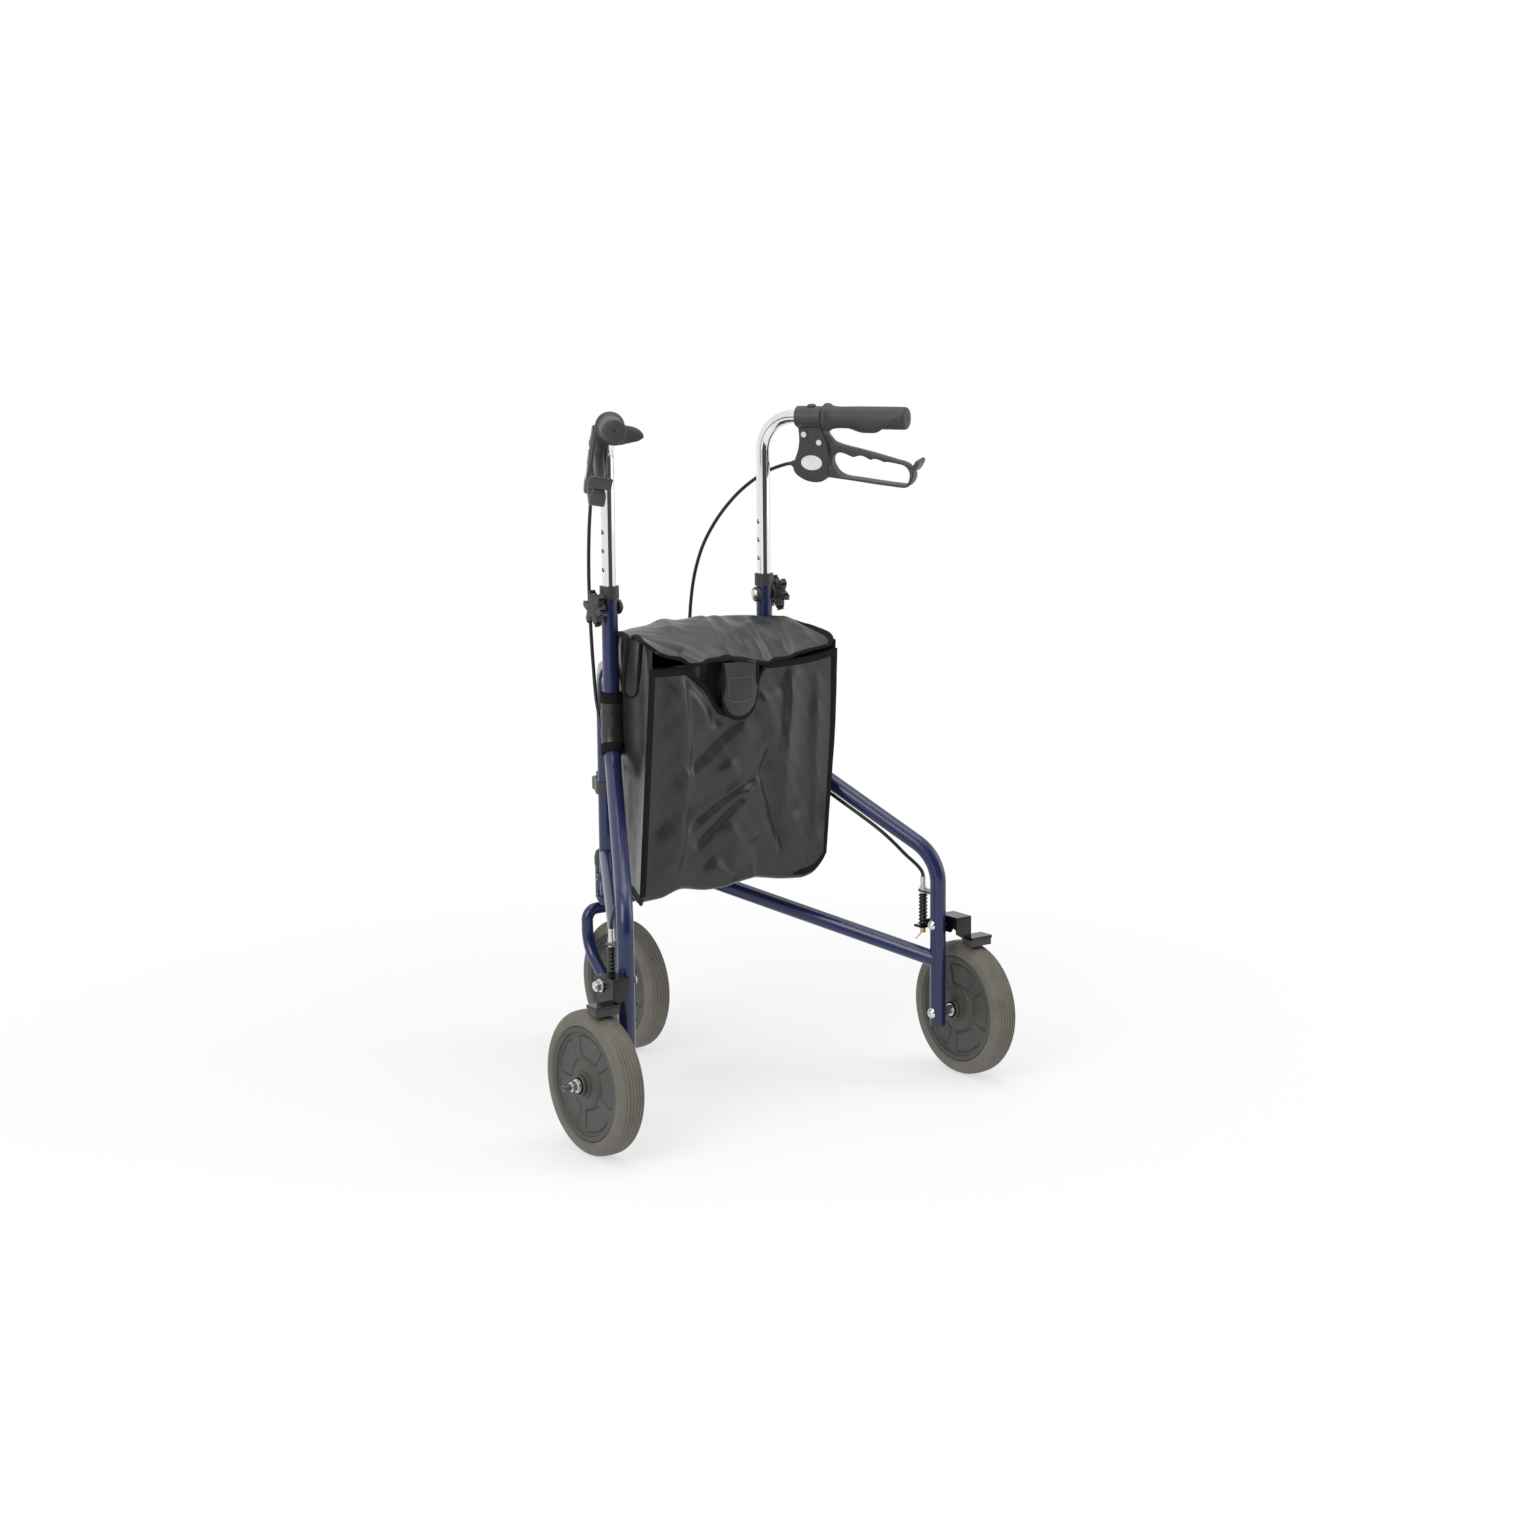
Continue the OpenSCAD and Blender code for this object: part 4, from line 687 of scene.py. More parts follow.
def oval(at, radii, steps):
    return [(at[0] + radii[0] * p.x, at[1] + radii[1] * p.y) for p in circle(1, steps)]


def boss(at, radii, face, edge, steps):
    """A low oval boss on one face of the brake."""
    return moved(plate(oval(at, radii, steps), BOSS_T, edge, rounds=2), brake_plane(face))


def housing(side):
    """The brake's body with its clamp, screw and cable ferrule, and what stands on its two faces."""
    back, out, up = brake_ways()
    body = plate(curve_through(HOUSING_EDGE, 4), HOUSING_T, HOUSING_EDGE_R)
    body = moved(body, brake_plane(BRAKE_OUT))
    clamp = moved(turned_ring(CLAMP_SECTION, 56), basis(at_brake(0, 0, 0), out, up, back))
    screw = moved(lathe(CLAMP_SCREW, 28), basis(at_brake(*CLAMP_SCREW_AT), back, out, up))
    ferrule = moved(lathe(FERRULE, 24), basis(at_brake(*FERRULE_AT), out, -up, -back))
    bosses, badges = [], []
    for way in (1, -1):
        face = BRAKE_OUT + way * (HOUSING_T / 2 + 0.1)
        bosses += [boss(at, RIVET_BOSS_R, face, 0.4, 32) for at in RIVETS]
        badges.append(boss(OVAL_AT, OVAL_R, face, 0.45, 40))
    shape = join(body, clamp, screw, ferrule)
    sided("brake_housing", shape, "black_plastic", side, "handle", ["brake_housing"], sharp=32)
    sided("housing_bosses", join(*bosses), "black_plastic", side, "handle", sharp=32)
    sided("housing_badges", join(*badges), "black_plastic", side, "handle", finish="badge", sharp=32)


def lever_width(x, z):
    """The loop's upper bar is narrower than its lower strap."""
    middle = LOOP_MIDDLE[1] + LOOP_SLOPE * (x - LOOP_MIDDLE[0])
    up = min(max((z - middle) / LOOP_CHANGE + 0.5, 0), 1)
    return 1 - LOOP_NARROWS * up * up * (3 - 2 * up)


def paddle():
    """The rest across the lever's end."""
    (x0, z0), (x1, z1) = PADDLE
    length = math.hypot(x1 - x0, z1 - z0)
    lean_x, lean_z = (z1 - z0) / length, (x0 - x1) / length
    rings = []
    for t in np.linspace(-1, 1, 25):
        thick = PADDLE_T * (1 - 0.5 * max(abs(t) - 0.8, 0) / 0.2)
        tall = 1 - 0.24 * (max(abs(t) - 0.6, 0) / 0.4) ** 2
        ring = []
        for a, b in superellipse(28, 0.45):
            up = 0.5 + 0.5 * a * tall
            x = x0 + (x1 - x0) * up + b * thick * lean_x
            z = z0 + (z1 - z0) * up + b * thick * lean_z
            ring.append(at_brake(x, BRAKE_OUT + t * PADDLE_W / 2, z))
        rings.append(ring)
    return loft(rings)


def lever(side):
    """The lever's loop with finger waves, and the rest at its end."""
    outer = curve_through(LEVER_OUTER, 4, closed=True)
    hole = curve_through(LEVER_HOLE, 3, closed=True)
    points, faces = plate(outer, LEVER_W, LEVER_EDGE_R, [hole])
    points = [Vector((p.x, p.y, p.z * lever_width(p.x, p.y))) for p in points]
    loop = moved((points, faces), brake_plane(BRAKE_OUT))
    sided("lever", join(loop, paddle()), "black_plastic", side, "lever", ["lever"], sharp=32)


def superellipse(steps, power):
    """Points round a squared-off oval of unit half axes."""
    out = []
    for i in range(steps):
        a = 2 * math.pi * i / steps
        c, s = math.cos(a), math.sin(a)
        out.append((math.copysign(abs(c) ** power, c), math.copysign(abs(s) ** (power + 0.25), s)))
    return out


# Height adjustment
KNOB_ARMS = 6
KNOB_VALLEY = (11.2, -30)
KNOB_ARM = [(22.3, 4), (21.9, 9.5), (20.6, 12.8), (17.5, 16.0), (13.2, 20.5)]
KNOB_TURN = 12
KNOB_T, KNOB_EDGE_R, KNOB_OUT = 10.6, 2.2, 23.0
KNOB_NECK = [(8.4, 11.6), (8.6, 12.2), (8.6, 18.4)]
KNOB_CAP = [(8.4, 27.6), (8.0, 29.0), (6.6, 29.4), (6.0, 28.8), (3.4, 28.6), (0.5, 28.6)]
KNOB_Z = 673
SADDLE = [(10.4, 10.9), (10.6, 12.0), (10.4, 14.4), (9.4, 15.6), (8.2, 15.9), (0.5, 15.9)]
DOME_R, DOME_H, DOME_OUT = 7.4, 4.2, 16.0


def knob_outline():
    """A star with tapered arms and small flat ends, from radii and angles off the middle of an arm."""
    arm = [KNOB_VALLEY] + [(r, -off) for r, off in KNOB_ARM[::-1]] + KNOB_ARM
    points = []
    for k in range(KNOB_ARMS):
        for r, off in arm:
            a = math.radians(360 / KNOB_ARMS * k + KNOB_TURN + off)
            points.append((r * math.cos(a), r * math.sin(a)))
    return curve_through(points, 2, closed=True)


def knob(side):
    star = moved(plate(knob_outline(), KNOB_T, KNOB_EDGE_R), Matrix.Translation(Z * KNOB_OUT))
    axes = across_axes(in_frame(UPRIGHT_REACH, 0, KNOB_Z))
    shape = moved(join(star, lathe(KNOB_NECK, 32), lathe(KNOB_CAP, 32)), axes)
    sided("knob", shape, "black_plastic", side, "knob", ["knob"], sharp=35)


def height_bolt(side):
    """The bolt's black saddle inboard of the upright and its bright domed head."""
    at = in_frame(UPRIGHT_REACH, 0, KNOB_Z)
    axes = basis(at, Z, Y, -X)
    turns = np.radians(np.arange(0, 90, 12))
    dome = [(DOME_R * math.cos(a), DOME_OUT + DOME_H * math.sin(a)) for a in turns]
    head = lathe([(7.2, 15.4)] + dome + [(0.2, 20.2)], 36)
    sided("height_bolt", moved(head, axes), "bright_steel", side, "frame", ["height_bolt"])
    sided("bolt_saddle", moved(lathe(SADDLE, 40), axes), "black_plastic", side, "frame")


# Cable ends at the legs
BOOT = (215.3, 259.7, 9)
BOOT_NECK_R = 3.4
BOOT_RIB = ((0.1, 4.7), (0.3, 6.0), (0.5, 6.5), (0.7, 6.0), (0.9, 4.7))
WIRE_FORE = 33


def boot(side):
    """A bellows over the inner wire, drawn at its length with the brake off; it is not squeezed as the brake
    is put on.
    """
    low, high, ribs = BOOT
    pitch = (high - low) / ribs
    profile = [(r, (k + share) * pitch) for k in range(ribs) for share, r in BOOT_RIB]
    profile = [(BOOT_NECK_R, 0.0)] + profile + [(BOOT_NECK_R, high - low)]
    shape = moved(lathe(profile, 28), Matrix.Translation(at_leg(0, WIRE_FORE, low)))
    obj = sided("boot", shape, "boot_rubber", side, "frame", ["boot"], sharp=60)
    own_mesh(obj)


ARM_WEB = [(12.2, 11.2), (37.0, 11.2), (37.4, -6), (37.4, -21.6), (31, -21.6), (24, -19), (12.2, -12)]
ARM_WEB_AT = (0, -25.4, 221)
ARM_WEB_T, ARM_WEB_EDGE_R = 3.2, 0.7
LEG_PLUG = [(8.0, 75.6), (10.2, 76.2), (11.0, 77.4), (11.0, 79.4), (9.4, 79.6), (9.3, 86)]


def arm_web(side):
    """The rear plate of the brake arm, between its cheeks."""
    axes = basis(at_leg(*ARM_WEB_AT), X, Z, -Y)
    shape = moved(plate(ARM_WEB, ARM_WEB_T, ARM_WEB_EDGE_R, rounds=2), axes)
    sided("arm_web", shape, "black_paint", side, "brake_arm")


def leg_plug(side):
    """The plug in the foot of the leg."""
    shape = moved(lathe(LEG_PLUG, 40), Matrix.Translation(at_leg(0, 0, 0)))
    sided("leg_plug", shape, "black_plastic", side, "frame")


for name, (body, nose) in WHEELS.items():
    tyre(name, body)
    hub(name, body, nose)
for side in SIDES:
    thread_end(side)
    grip(side)
    housing(side)
    lever(side)
    knob(side)
    height_bolt(side)
    boot(side)
    arm_web(side)
    leg_plug(side)


# Bag
# The outlines and folds of its cloth were read off the photo.
CLOTH_T = 1.6
REAR_ROWS = 108
BAG_COLUMNS = 121
BAG_FRONT_Y = 98.0
BAG_FRONT_TOP, BAG_FRONT_BULGE = 600, 3
BAG_FLOOR_Z, BAG_FLOOR_SAG = 291, 7
HEM_R = 9.0
CORNER_R = 42.0
CORNER_X = 108.0
LID_REAR_Y, LID_CROWN_Y, LID_FRONT_Y = -108.0, 5.0, 104.0
LID_REAR_W = 158.0
LID_CROWN_Z, LID_FRONT_Z = 650, 605
LID_OVERHANG = 6
LID_CORNER_R = 24.0
TAPE_W, TAPE_T, TAPE_SIDES = 10.5, 5.6, 14
CORNER_TAPE_X = 84
UPRIGHT_SHARE, UPRIGHT_X, UPRIGHT_Y = 0.555, 116.6, 19.3
GUSSET_REAR_Y = -95.0
GUSSET_FRONT = (71.5, 98.5)
GUSSET_FOOT = {"left": [(0, 286), (0.12, 287), (1, 297)], "right": [(0, 330), (0.3, 318), (1, 297)]}


def graph(*pairs):
    """A smooth curve of one value over another."""
    dense = np.array(curve_through(pairs, 8))
    return lambda at: np.interp(at, dense[:, 0], dense[:, 1])


rear_back = graph((270, 86.5), (605, 103), (660, 104))
left_edge = graph((270, 161), (340, 158), (602, 148), (660, 147))
right_edge = graph((270, 144), (330, 147), (420, 152), (500, 156), (602, 156), (660, 156))
side_half = graph((-120, 155), (-92, 152), (UPRIGHT_Y, UPRIGHT_X), (99.1, 71), (120, 60))
hem_line = graph((-170, 287), (-127, 290), (-97, 299), (-53, 292), (-10, 296), (31, 298), (70, 291),
                 (108, 288), (170, 288))
body_top = graph((-170, 604), (-148, 602), (-106, 601), (-93, 597), (-63, 574), (-46, 550), (-36, 541),
                 (-8, 536), (16, 545), (24, 580), (34, 597), (47, 598), (103, 600), (152, 608),
                 (170, 610))
lid_edge = graph((-170, 646), (-158, 640), (-131, 620), (-102, 609), (-64, 609), (-9, 603), (33, 598),
                 (103, 608), (146, 615), (170, 627))

# Folds of the rear panel: kind, path across and up, height off the panel, width.
# A pleat is steep on its path's right-hand side and gentle on the other.
REAR_FOLDS = [
    ("pleat", [(-118, 296), (-98, 369), (-91, 438), (-89, 482), (-96, 560), (-99, 604)], 5.5, 7),
    ("pleat", [(80, 604), (75, 526), (69, 466), (70, 372), (75, 292)], 8.0, 6),
    ("pleat", [(-94, 458), (-62, 479), (-35, 502), (6, 528)], -5.5, 7),
    ("pleat", [(-90, 376), (-49, 404), (-14, 424), (36, 446)], -7.5, 6),
    ("pleat", [(-78, 352), (-44, 382), (-11, 408), (10, 418)], -5.0, 5),
    ("pleat", [(58, 500), (44, 468), (36, 442), (52, 391), (68, 350), (74, 300)], -6.0, 7),
    ("ridge", [(-100, 604), (-63, 566), (-46, 540), (-40, 512)], -6.0, 10),
    ("pleat", [(30, 560), (43, 515), (66, 452)], 5.0, 8),
    ("pleat", [(126, 580), (124, 480), (128, 400), (122, 320)], 4.0, 8),
    ("ridge", [(-60, 330), (-30, 306), (-22, 290)], 5.0, 14),
    ("ridge", [(-26, 384), (-10, 340), (-24, 296)], 3.2, 15),
    ("ridge", [(20, 360), (34, 325), (30, 300)], -4.0, 12),
    ("ridge", [(-88, 290), (-112, 330), (-134, 392)], 3.4, 17),
    ("ridge", [(108, 288), (94, 330), (92, 390)], 3.4, 16),
    ("ridge", [(-30, 470), (-10, 440), (20, 420)], 3.0, 16),
]

# Folds of the lid: kind, path across and forward, height, width
LID_FOLDS = [
    ("pleat", [(-92, -114), (-124, -82), (-158, -56)], 7.5, 7),
    ("pleat", [(-60, -114), (-96, -66), (-140, -22)], -6.0, 7),
    ("ridge", [(-150, -34), (-112, -58), (-84, -84)], -4.5, 10),
    ("pleat", [(-26, -114), (-14, -60), (6, 14)], 6.0, 8),
    ("pleat", [(36, -114), (48, -55), (66, 6)], -6.5, 7),
    ("pleat", [(116, -108), (124, -60), (124, -10)], 6.0, 7),
    ("pleat", [(70, -112), (90, -54), (98, -2)], -5.0, 8),
    ("ridge", [(-70, -50), (-52, 0), (-44, 44)], 4.0, 10),
    ("ridge", [(20, -100), (24, -40), (28, 20)], 4.0, 9),
]

# Folds of a gusset: kind, path by share across and height in metres, depth, width
GUSSET_FOLDS = [
    ("ridge", [(0.3, 0.62), (0.27, 0.47), (0.32, 0.3)], 3.5, 0.1),
    ("ridge", [(0.12, 0.52), (0.3, 0.43), (0.46, 0.4)], 1.8, 0.05),
    ("ridge", [(0.8, 0.6), (0.78, 0.45), (0.84, 0.31)], 2.8, 0.08),
]


def nearest(px, pz, path):
    """Signed distance from points to a path, positive on its left, and the share along it."""
    best = np.full(np.shape(px), 1e9)
    signed = np.zeros_like(best)
    share = np.zeros_like(best)
    for i, (a, b) in enumerate(zip(path, path[1:])):
        ux, uz = b[0] - a[0], b[1] - a[1]
        t = np.clip(((px - a[0]) * ux + (pz - a[1]) * uz) / (ux * ux + uz * uz), 0, 1)
        dx, dz = px - a[0] - t * ux, pz - a[1] - t * uz
        d = np.hypot(dx, dz)
        closer = d < best
        best = np.where(closer, d, best)
        signed = np.where(closer, np.copysign(d, ux * dz - uz * dx), signed)
        share = np.where(closer, (i + t) / (len(path) - 1), share)
    return signed, share


def folds(px, pz, creases):
    """How far a set of folds lifts the cloth at each point."""
    total = np.zeros(np.shape(px))
    for kind, path, height, width in creases:
        path = [tuple(p) for p in curve_through(path, 5)]
        d, share = nearest(px, pz, path)
        fade = np.clip(share / 0.22, 0, 1) * np.clip((1 - share) / 0.22, 0, 1)
        fade = fade * fade * (3 - 2 * fade)
        reach = np.where(d > 0, width * 3.4, width) if kind == "pleat" else width
        shape = np.exp(-(d / reach) ** 2)
        total += height * shape * fade
    return total


# Swells of the rear panel: height, and for each way its middle and reach
BELLY = (6, -8, 75, 430, 120)
FOOT_SAG = (5, 322, 40)


def ripple(a, b):
    """Small uneven swells of slack cloth."""
    return (np.sin(a / 13 + b / 31 + 1) * np.sin(b / 17 - a / 43) + 0.6 * np.sin(a / 7.3 - b / 19 + 2)
            * np.sin(b / 11 + 0.5) + 0.35 * np.sin(a / 4.1 + b / 6.7))


def rear_lift(x, z):
    """How far the rear panel stands off its flat plane."""
    height, mid_x, wide, mid_z, tall = BELLY
    belly = height * np.exp(-((x - mid_x) / wide) ** 2 - ((z - mid_z) / tall) ** 2)
    height, mid_z, tall = FOOT_SAG
    sag = height * np.exp(-((z - mid_z) / tall) ** 2) * (0.7 + 0.3 * np.cos(x / 27))
    held = np.clip((150 - np.abs(x)) / 25, 0.15, 1) * np.clip((606 - z) / 30, 0.15, 1)
    return (belly + sag + folds(x, z, REAR_FOLDS) + 0.7 * ripple(x, z)) * held


def edge_of(share, z):
    return np.where(share < 0, share * left_edge(z), share * right_edge(z))


def rear_rows(share):
    """The rear panel, from its top to the end of its round hem."""
    x = edge_of(share, 300)
    past = np.clip(x - CORNER_X, 0, CORNER_R - 0.01)
    hem = hem_line(x) + CORNER_R - np.sqrt(CORNER_R**2 - past**2)
    top = body_top(x)
    rows = []
    for t in np.linspace(0, 1, REAR_ROWS):
        z = top + (hem + HEM_R - top) * t
        x = edge_of(share, z)
        rows.append((x, -rear_back(z) - rear_lift(x, z), z))
    x, y, z = rows[-1]
    for a in np.radians([15, 30, 45, 60, 75, 90]):
        rows.append((x, y + HEM_R * (1 - math.cos(a)), z - HEM_R * math.sin(a)))
    return rows


def floor_rows(share, start):
    """The floor, forward from a row of points."""
    x, y, z = start
    low = BAG_FLOOR_Z + 6 * share**4
    rows = []
    for t in np.linspace(0, 1, 18)[1:]:
        fore = y + (BAG_FRONT_Y - HEM_R - y) * t
        wide = share * side_half(fore) + (x - share * side_half(y)) * (1 - t) ** 2
        sag = BAG_FLOOR_SAG * (1 - share**2) * math.sin(math.pi * t)
        rows.append((wide, fore, z + (low - z) * t - sag))
    return rows


def front_rows(share, start):
    """The front, up from a row of points."""
    x, y, z = start
    rows = [(x, y + HEM_R * math.sin(a), z + HEM_R * (1 - math.cos(a))) for a in np.radians([30, 60, 90])]
    x, y, z = rows[-1]
    for t in np.linspace(0, 1, 26)[1:]:
        high = z + (BAG_FRONT_TOP - z) * t
        bulge = BAG_FRONT_BULGE * math.sin(math.pi * t) + 0.7 * ripple(x + 90, high)
        rows.append((x, y + bulge * (1 - share**2), high))
    return rows


def body_rows(share):
    """Rear panel, floor and front in one cut: rows of points from the left edge to the right one."""
    rows = rear_rows(share)
    rows += floor_rows(share, rows[-1])
    rows += front_rows(share, rows[-1])
    return np.array([np.stack(r, 1) for r in rows])


def lid_height(share, y):
    """The lid's height at a share of its half width and a distance forward."""
    crown = LID_CROWN_Z - 8 * np.abs(share) ** 3 - 4 * np.clip(-share, 0, 1)
    rear = lid_edge(share * LID_REAR_W)
    back = np.clip((LID_CROWN_Y - y) / (LID_CROWN_Y - LID_REAR_Y), 0, 1.1)
    fore = np.clip((y - LID_CROWN_Y) / (LID_FRONT_Y - LID_CROWN_Y), 0, 1.1)
    return crown - (crown - rear) * back**1.9 - (crown - LID_FRONT_Z) * fore**2


def lid_share(x, y):
    return x / (side_half(y) + 5)


def lid_half(y):
    """Half the lid's width, with its rear corners rounded."""
    past = np.clip(LID_REAR_Y + LID_CORNER_R - y, 0, LID_CORNER_R)
    return side_half(y) + LID_OVERHANG - (LID_CORNER_R - np.sqrt(LID_CORNER_R**2 - past**2))


def lid_rows(share):
    """The lid from its front edge to its rear one."""
    back = 1 - (1 - np.linspace(0, 1, 74)) ** 1.35
    rows = []
    for t in back:
        y = np.full(share.shape, LID_FRONT_Y + (LID_REAR_Y - LID_FRONT_Y) * t)
        x = share * lid_half(y)
        z = lid_height(lid_share(x, y), y)
        z = z + folds(x, y, LID_FOLDS) * np.clip(t / 0.15, 0, 1) + 0.6 * ripple(x + 40, y * 1.3)
        rows.append(np.stack([x, y, z], 1))
    return np.array(rows)


def gusset_rows(share, side):
    """One side of the bag, drawn for the right-hand side: rows from its top to its bottom."""
    edge = left_edge if side == "left" else right_edge
    low = along(GUSSET_FOOT[side], share)
    ends = [0.0, UPRIGHT_SHARE, 1.0]
    plan_x = np.interp(share, ends, [float(edge(450)), UPRIGHT_X, GUSSET_FRONT[0]])
    plan_y = np.interp(share, ends, [GUSSET_REAR_Y, UPRIGHT_Y, GUSSET_FRONT[1]])
    over = lid_height(lid_share(plan_x * SIDES[side], plan_y), plan_y) - 4
    behind = share < UPRIGHT_SHARE
    to_rear = 1 - share / UPRIGHT_SHARE
    to_front = np.clip((share - UPRIGHT_SHARE) / (1 - UPRIGHT_SHARE), 0, 1)
    hollow_in = 5.5 * np.sin(np.pi * np.clip(1 - to_rear, 0, 1)) + 4 * np.sin(np.pi * to_front)
    rows = []
    for t in np.linspace(0, 1, 44):
        z = over + (low - over) * t
        x = np.where(behind, UPRIGHT_X + (edge(z) - UPRIGHT_X) * to_rear, plan_x)
        y = np.where(behind, UPRIGHT_Y + (-rear_back(z) - UPRIGHT_Y) * to_rear, plan_y)
        sag = hollow_in * math.sin(math.pi * min(0.12 + 0.8 * t, 1)) + folds(share, z * MM, GUSSET_FOLDS)
        sag = sag + 0.5 * ripple(share * 200, z) * np.sin(np.pi * share)
        rows.append(np.stack([x - sag * 0.93, y - sag * 0.3, z], 1))
    return np.array(rows)


def unit(v):
    return v / np.maximum(np.linalg.norm(v, axis=-1, keepdims=True), 1e-9)


def normals_of(rows):
    return unit(np.cross(np.gradient(rows, axis=0), np.gradient(rows, axis=1)))


def facing(rows, way):
    """Normals of a cloth that lie on the given side of it."""
    n = normals_of(rows)
    return n if float((n * way).sum()) > 0 else -n


def cloth(rows, normals, thickness=CLOTH_T):
    """A closed skin of cloth over rows of points, with its outside along the normals."""
    count, width = rows.shape[:2]
    points = np.concatenate([rows.reshape(-1, 3), (rows - normals * thickness).reshape(-1, 3)])
    back = count * width
    faces = []
    for i in range(count - 1):
        for k in range(width - 1):
            a = i * width + k
            faces.append((a, a + width, a + width + 1, a + 1))
            faces.append((a + back, a + back + 1, a + back + width + 1, a + back + width))
    rim = list(range(width)) + [i * width + width - 1 for i in range(1, count)]
    rim += [(count - 1) * width + k for k in range(width - 2, -1, -1)]
    rim += [i * width for i in range(count - 2, 0, -1)]
    for a, b in zip(rim, rim[1:] + rim[:1]):
        faces.append((a, b, b + back, a + back))
    return [Vector(p) for p in points], faces


def flat_size(rows):
    """Width and length that a cloth is cut from."""
    return [float(np.linalg.norm(np.diff(rows, axis=k), axis=2).sum(k).max()) for k in (1, 0)]


def declare(rows, flat=None):
    """Works out a cloth's flat width and length, given or else measured on its rows, and does nothing more
    with them.
    """
    flat = [float(a * MM) for a in flat or flat_size(rows)]


def edging(points, inward, normals, width, thickness, over=1.0, swell=None):
    """A folded tape along an edge: points on it, and directions into the cloth and off it."""
    rings = []
    for k, (p, i, n) in enumerate(zip(points, inward, normals)):
        size = 1.0 if swell is None else swell[k]
        ring = []
        for q in circle(1, TAPE_SIDES):
            a = (q.x + 1) / 2 * width * size - over
            b = math.copysign(abs(q.y) ** 0.6, q.y) * thickness * size / 2 - CLOTH_T / 2
            ring.append(Vector(p + i * a + n * b))
        rings.append(ring)
    return loft(rings)


def edge_tape(rows, normals, which, width=TAPE_W, thickness=TAPE_T):
    """Tape along one edge of a cloth: its first or last row or column."""
    edge, inner, n = {
        "first_row": (rows[0], rows[2], normals[0]), "last_row": (rows[-1], rows[-3], normals[-1]),
        "first_column": (rows[:, 0], rows[:, 2], normals[:, 0]),
        "last_column": (rows[:, -1], rows[:, -3], normals[:, -1])}[which]
    return edging(edge, unit(inner - edge), n, width, thickness)


THREAD_R, THREAD_RISE = 0.5, 0.45


def stitches(path, normals, length=3.4, pitch=5.0):
    """Thread showing in a row of stitches along a path."""
    path, normals = np.array(path, float), np.array(normals, float)
    run = np.r_[0, np.cumsum(np.linalg.norm(np.diff(path, axis=0), axis=1))]
    shapes = []
    for start in np.arange(pitch / 2, run[-1] - length, pitch):
        at = [start, start + length * 0.5, start + length]
        line = np.stack([np.interp(at, run, path[:, k]) for k in range(3)], 1)
        off = np.stack([np.interp(at, run, normals[:, k]) for k in range(3)], 1)
        line = line + off * np.array([[0.0], [THREAD_RISE], [0.0]])
        shapes.append(tube(line, THREAD_R, 6))
    return join(*shapes)


def bag_piece(name, shape, body, finish="bag_vinyl", stands_for=(), sharp=60):
    return piece(name, shape, FINISHES[finish], body, stands_for, sharp)


def smooth_by(obj, normals):
    """Shades a cloth's two faces by given normals, so that neighbours meet without a line."""
    both = np.concatenate([normals.reshape(-1, 3), -normals.reshape(-1, 3)])
    obj.data.normals_split_custom_set_from_vertices([tuple(n) for n in both])


def bag_body():
    share = np.linspace(-1, 1, BAG_COLUMNS)
    share = 0.7 * share + 0.3 * np.sin(share * np.pi / 2)
    middle = BAG_COLUMNS // 2
    share[middle] = 0.0
    rows = body_rows(share)
    normals = normals_of(rows)
    for side, part in (("left", slice(0, middle + 1)), ("right", slice(middle, None))):
        cut = rows[:, part]
        obj = bag_piece(f"{side}_bag_panel", cloth(cut, normals[:, part]), None,
                        stands_for=["bag_body"] if side == "left" else [])
        with_side(obj)
        smooth_by(obj, normals[:, part])
        tape = panel_tape(side, cut, normals[:, part], share[part])
        declare(cut)


def with_side(obj):
    """Bakes the placement of a piece of the bag into its mesh."""
    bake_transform(obj)


def panel_tape(side, rows, normals, share):
    """Binding along a panel half's top, its upright edge and, on the right, its rounded corner."""
    outer = 0 if side == "left" else -1
    inner = 3 if side == "left" else -4
    seen = slice(0, REAR_ROWS)
    edge, n = rows[seen, outer], normals[seen, outer]
    into = unit(rows[seen, inner] - edge)
    out = unit(n + np.array([[SIDES[side] * 0.8, 0.0, 0.0]]))
    tapes = [edging(edge - into * 1.5, into, out, TAPE_W, TAPE_T)]
    tapes.append(edging(rows[0], unit(rows[3] - rows[0]), normals[0], TAPE_W, TAPE_T - 1))
    if side == "right":
        corner = [k for k in range(len(share)) if rows[REAR_ROWS, k, 0] > CORNER_TAPE_X][::-1]
        low = rows[REAR_ROWS, corner]
        run = np.linspace(1, 0, len(corner))
        off = normals[REAR_ROWS - 6, corner]
        up = unit(rows[REAR_ROWS - 8, corner] - low)
        tapes.append(edging(low, up, off, TAPE_W, TAPE_T, 1.0, np.clip(run * 4, 0.25, 1)))
    obj = bag_piece(f"{side}_panel_binding", join(*tapes), None, "bag_binding")
    with_side(obj)
    return obj


def gusset(side):
    share = np.linspace(0, 1, 56)
    rows = gusset_rows(share, side)
    rows[:, :, 0] *= SIDES[side]
    normals = normals_of(rows) * SIDES[side]
    obj = bag_piece(f"{side}_bag_gusset", cloth(rows, normals), None, stands_for=[f"{side}_bag_side"])
    with_side(obj)
    tape = bag_piece(f"{side}_gusset_binding", edge_tape(rows, normals, "last_row"), None, "bag_binding")
    with_side(tape)
    declare(rows)


SLEEVE_TOP_Z = 557
SLEEVE_TURN = math.radians(32)
SLEEVE_R = 14.0
BEND_R = 65
BEND_Z = 509.8


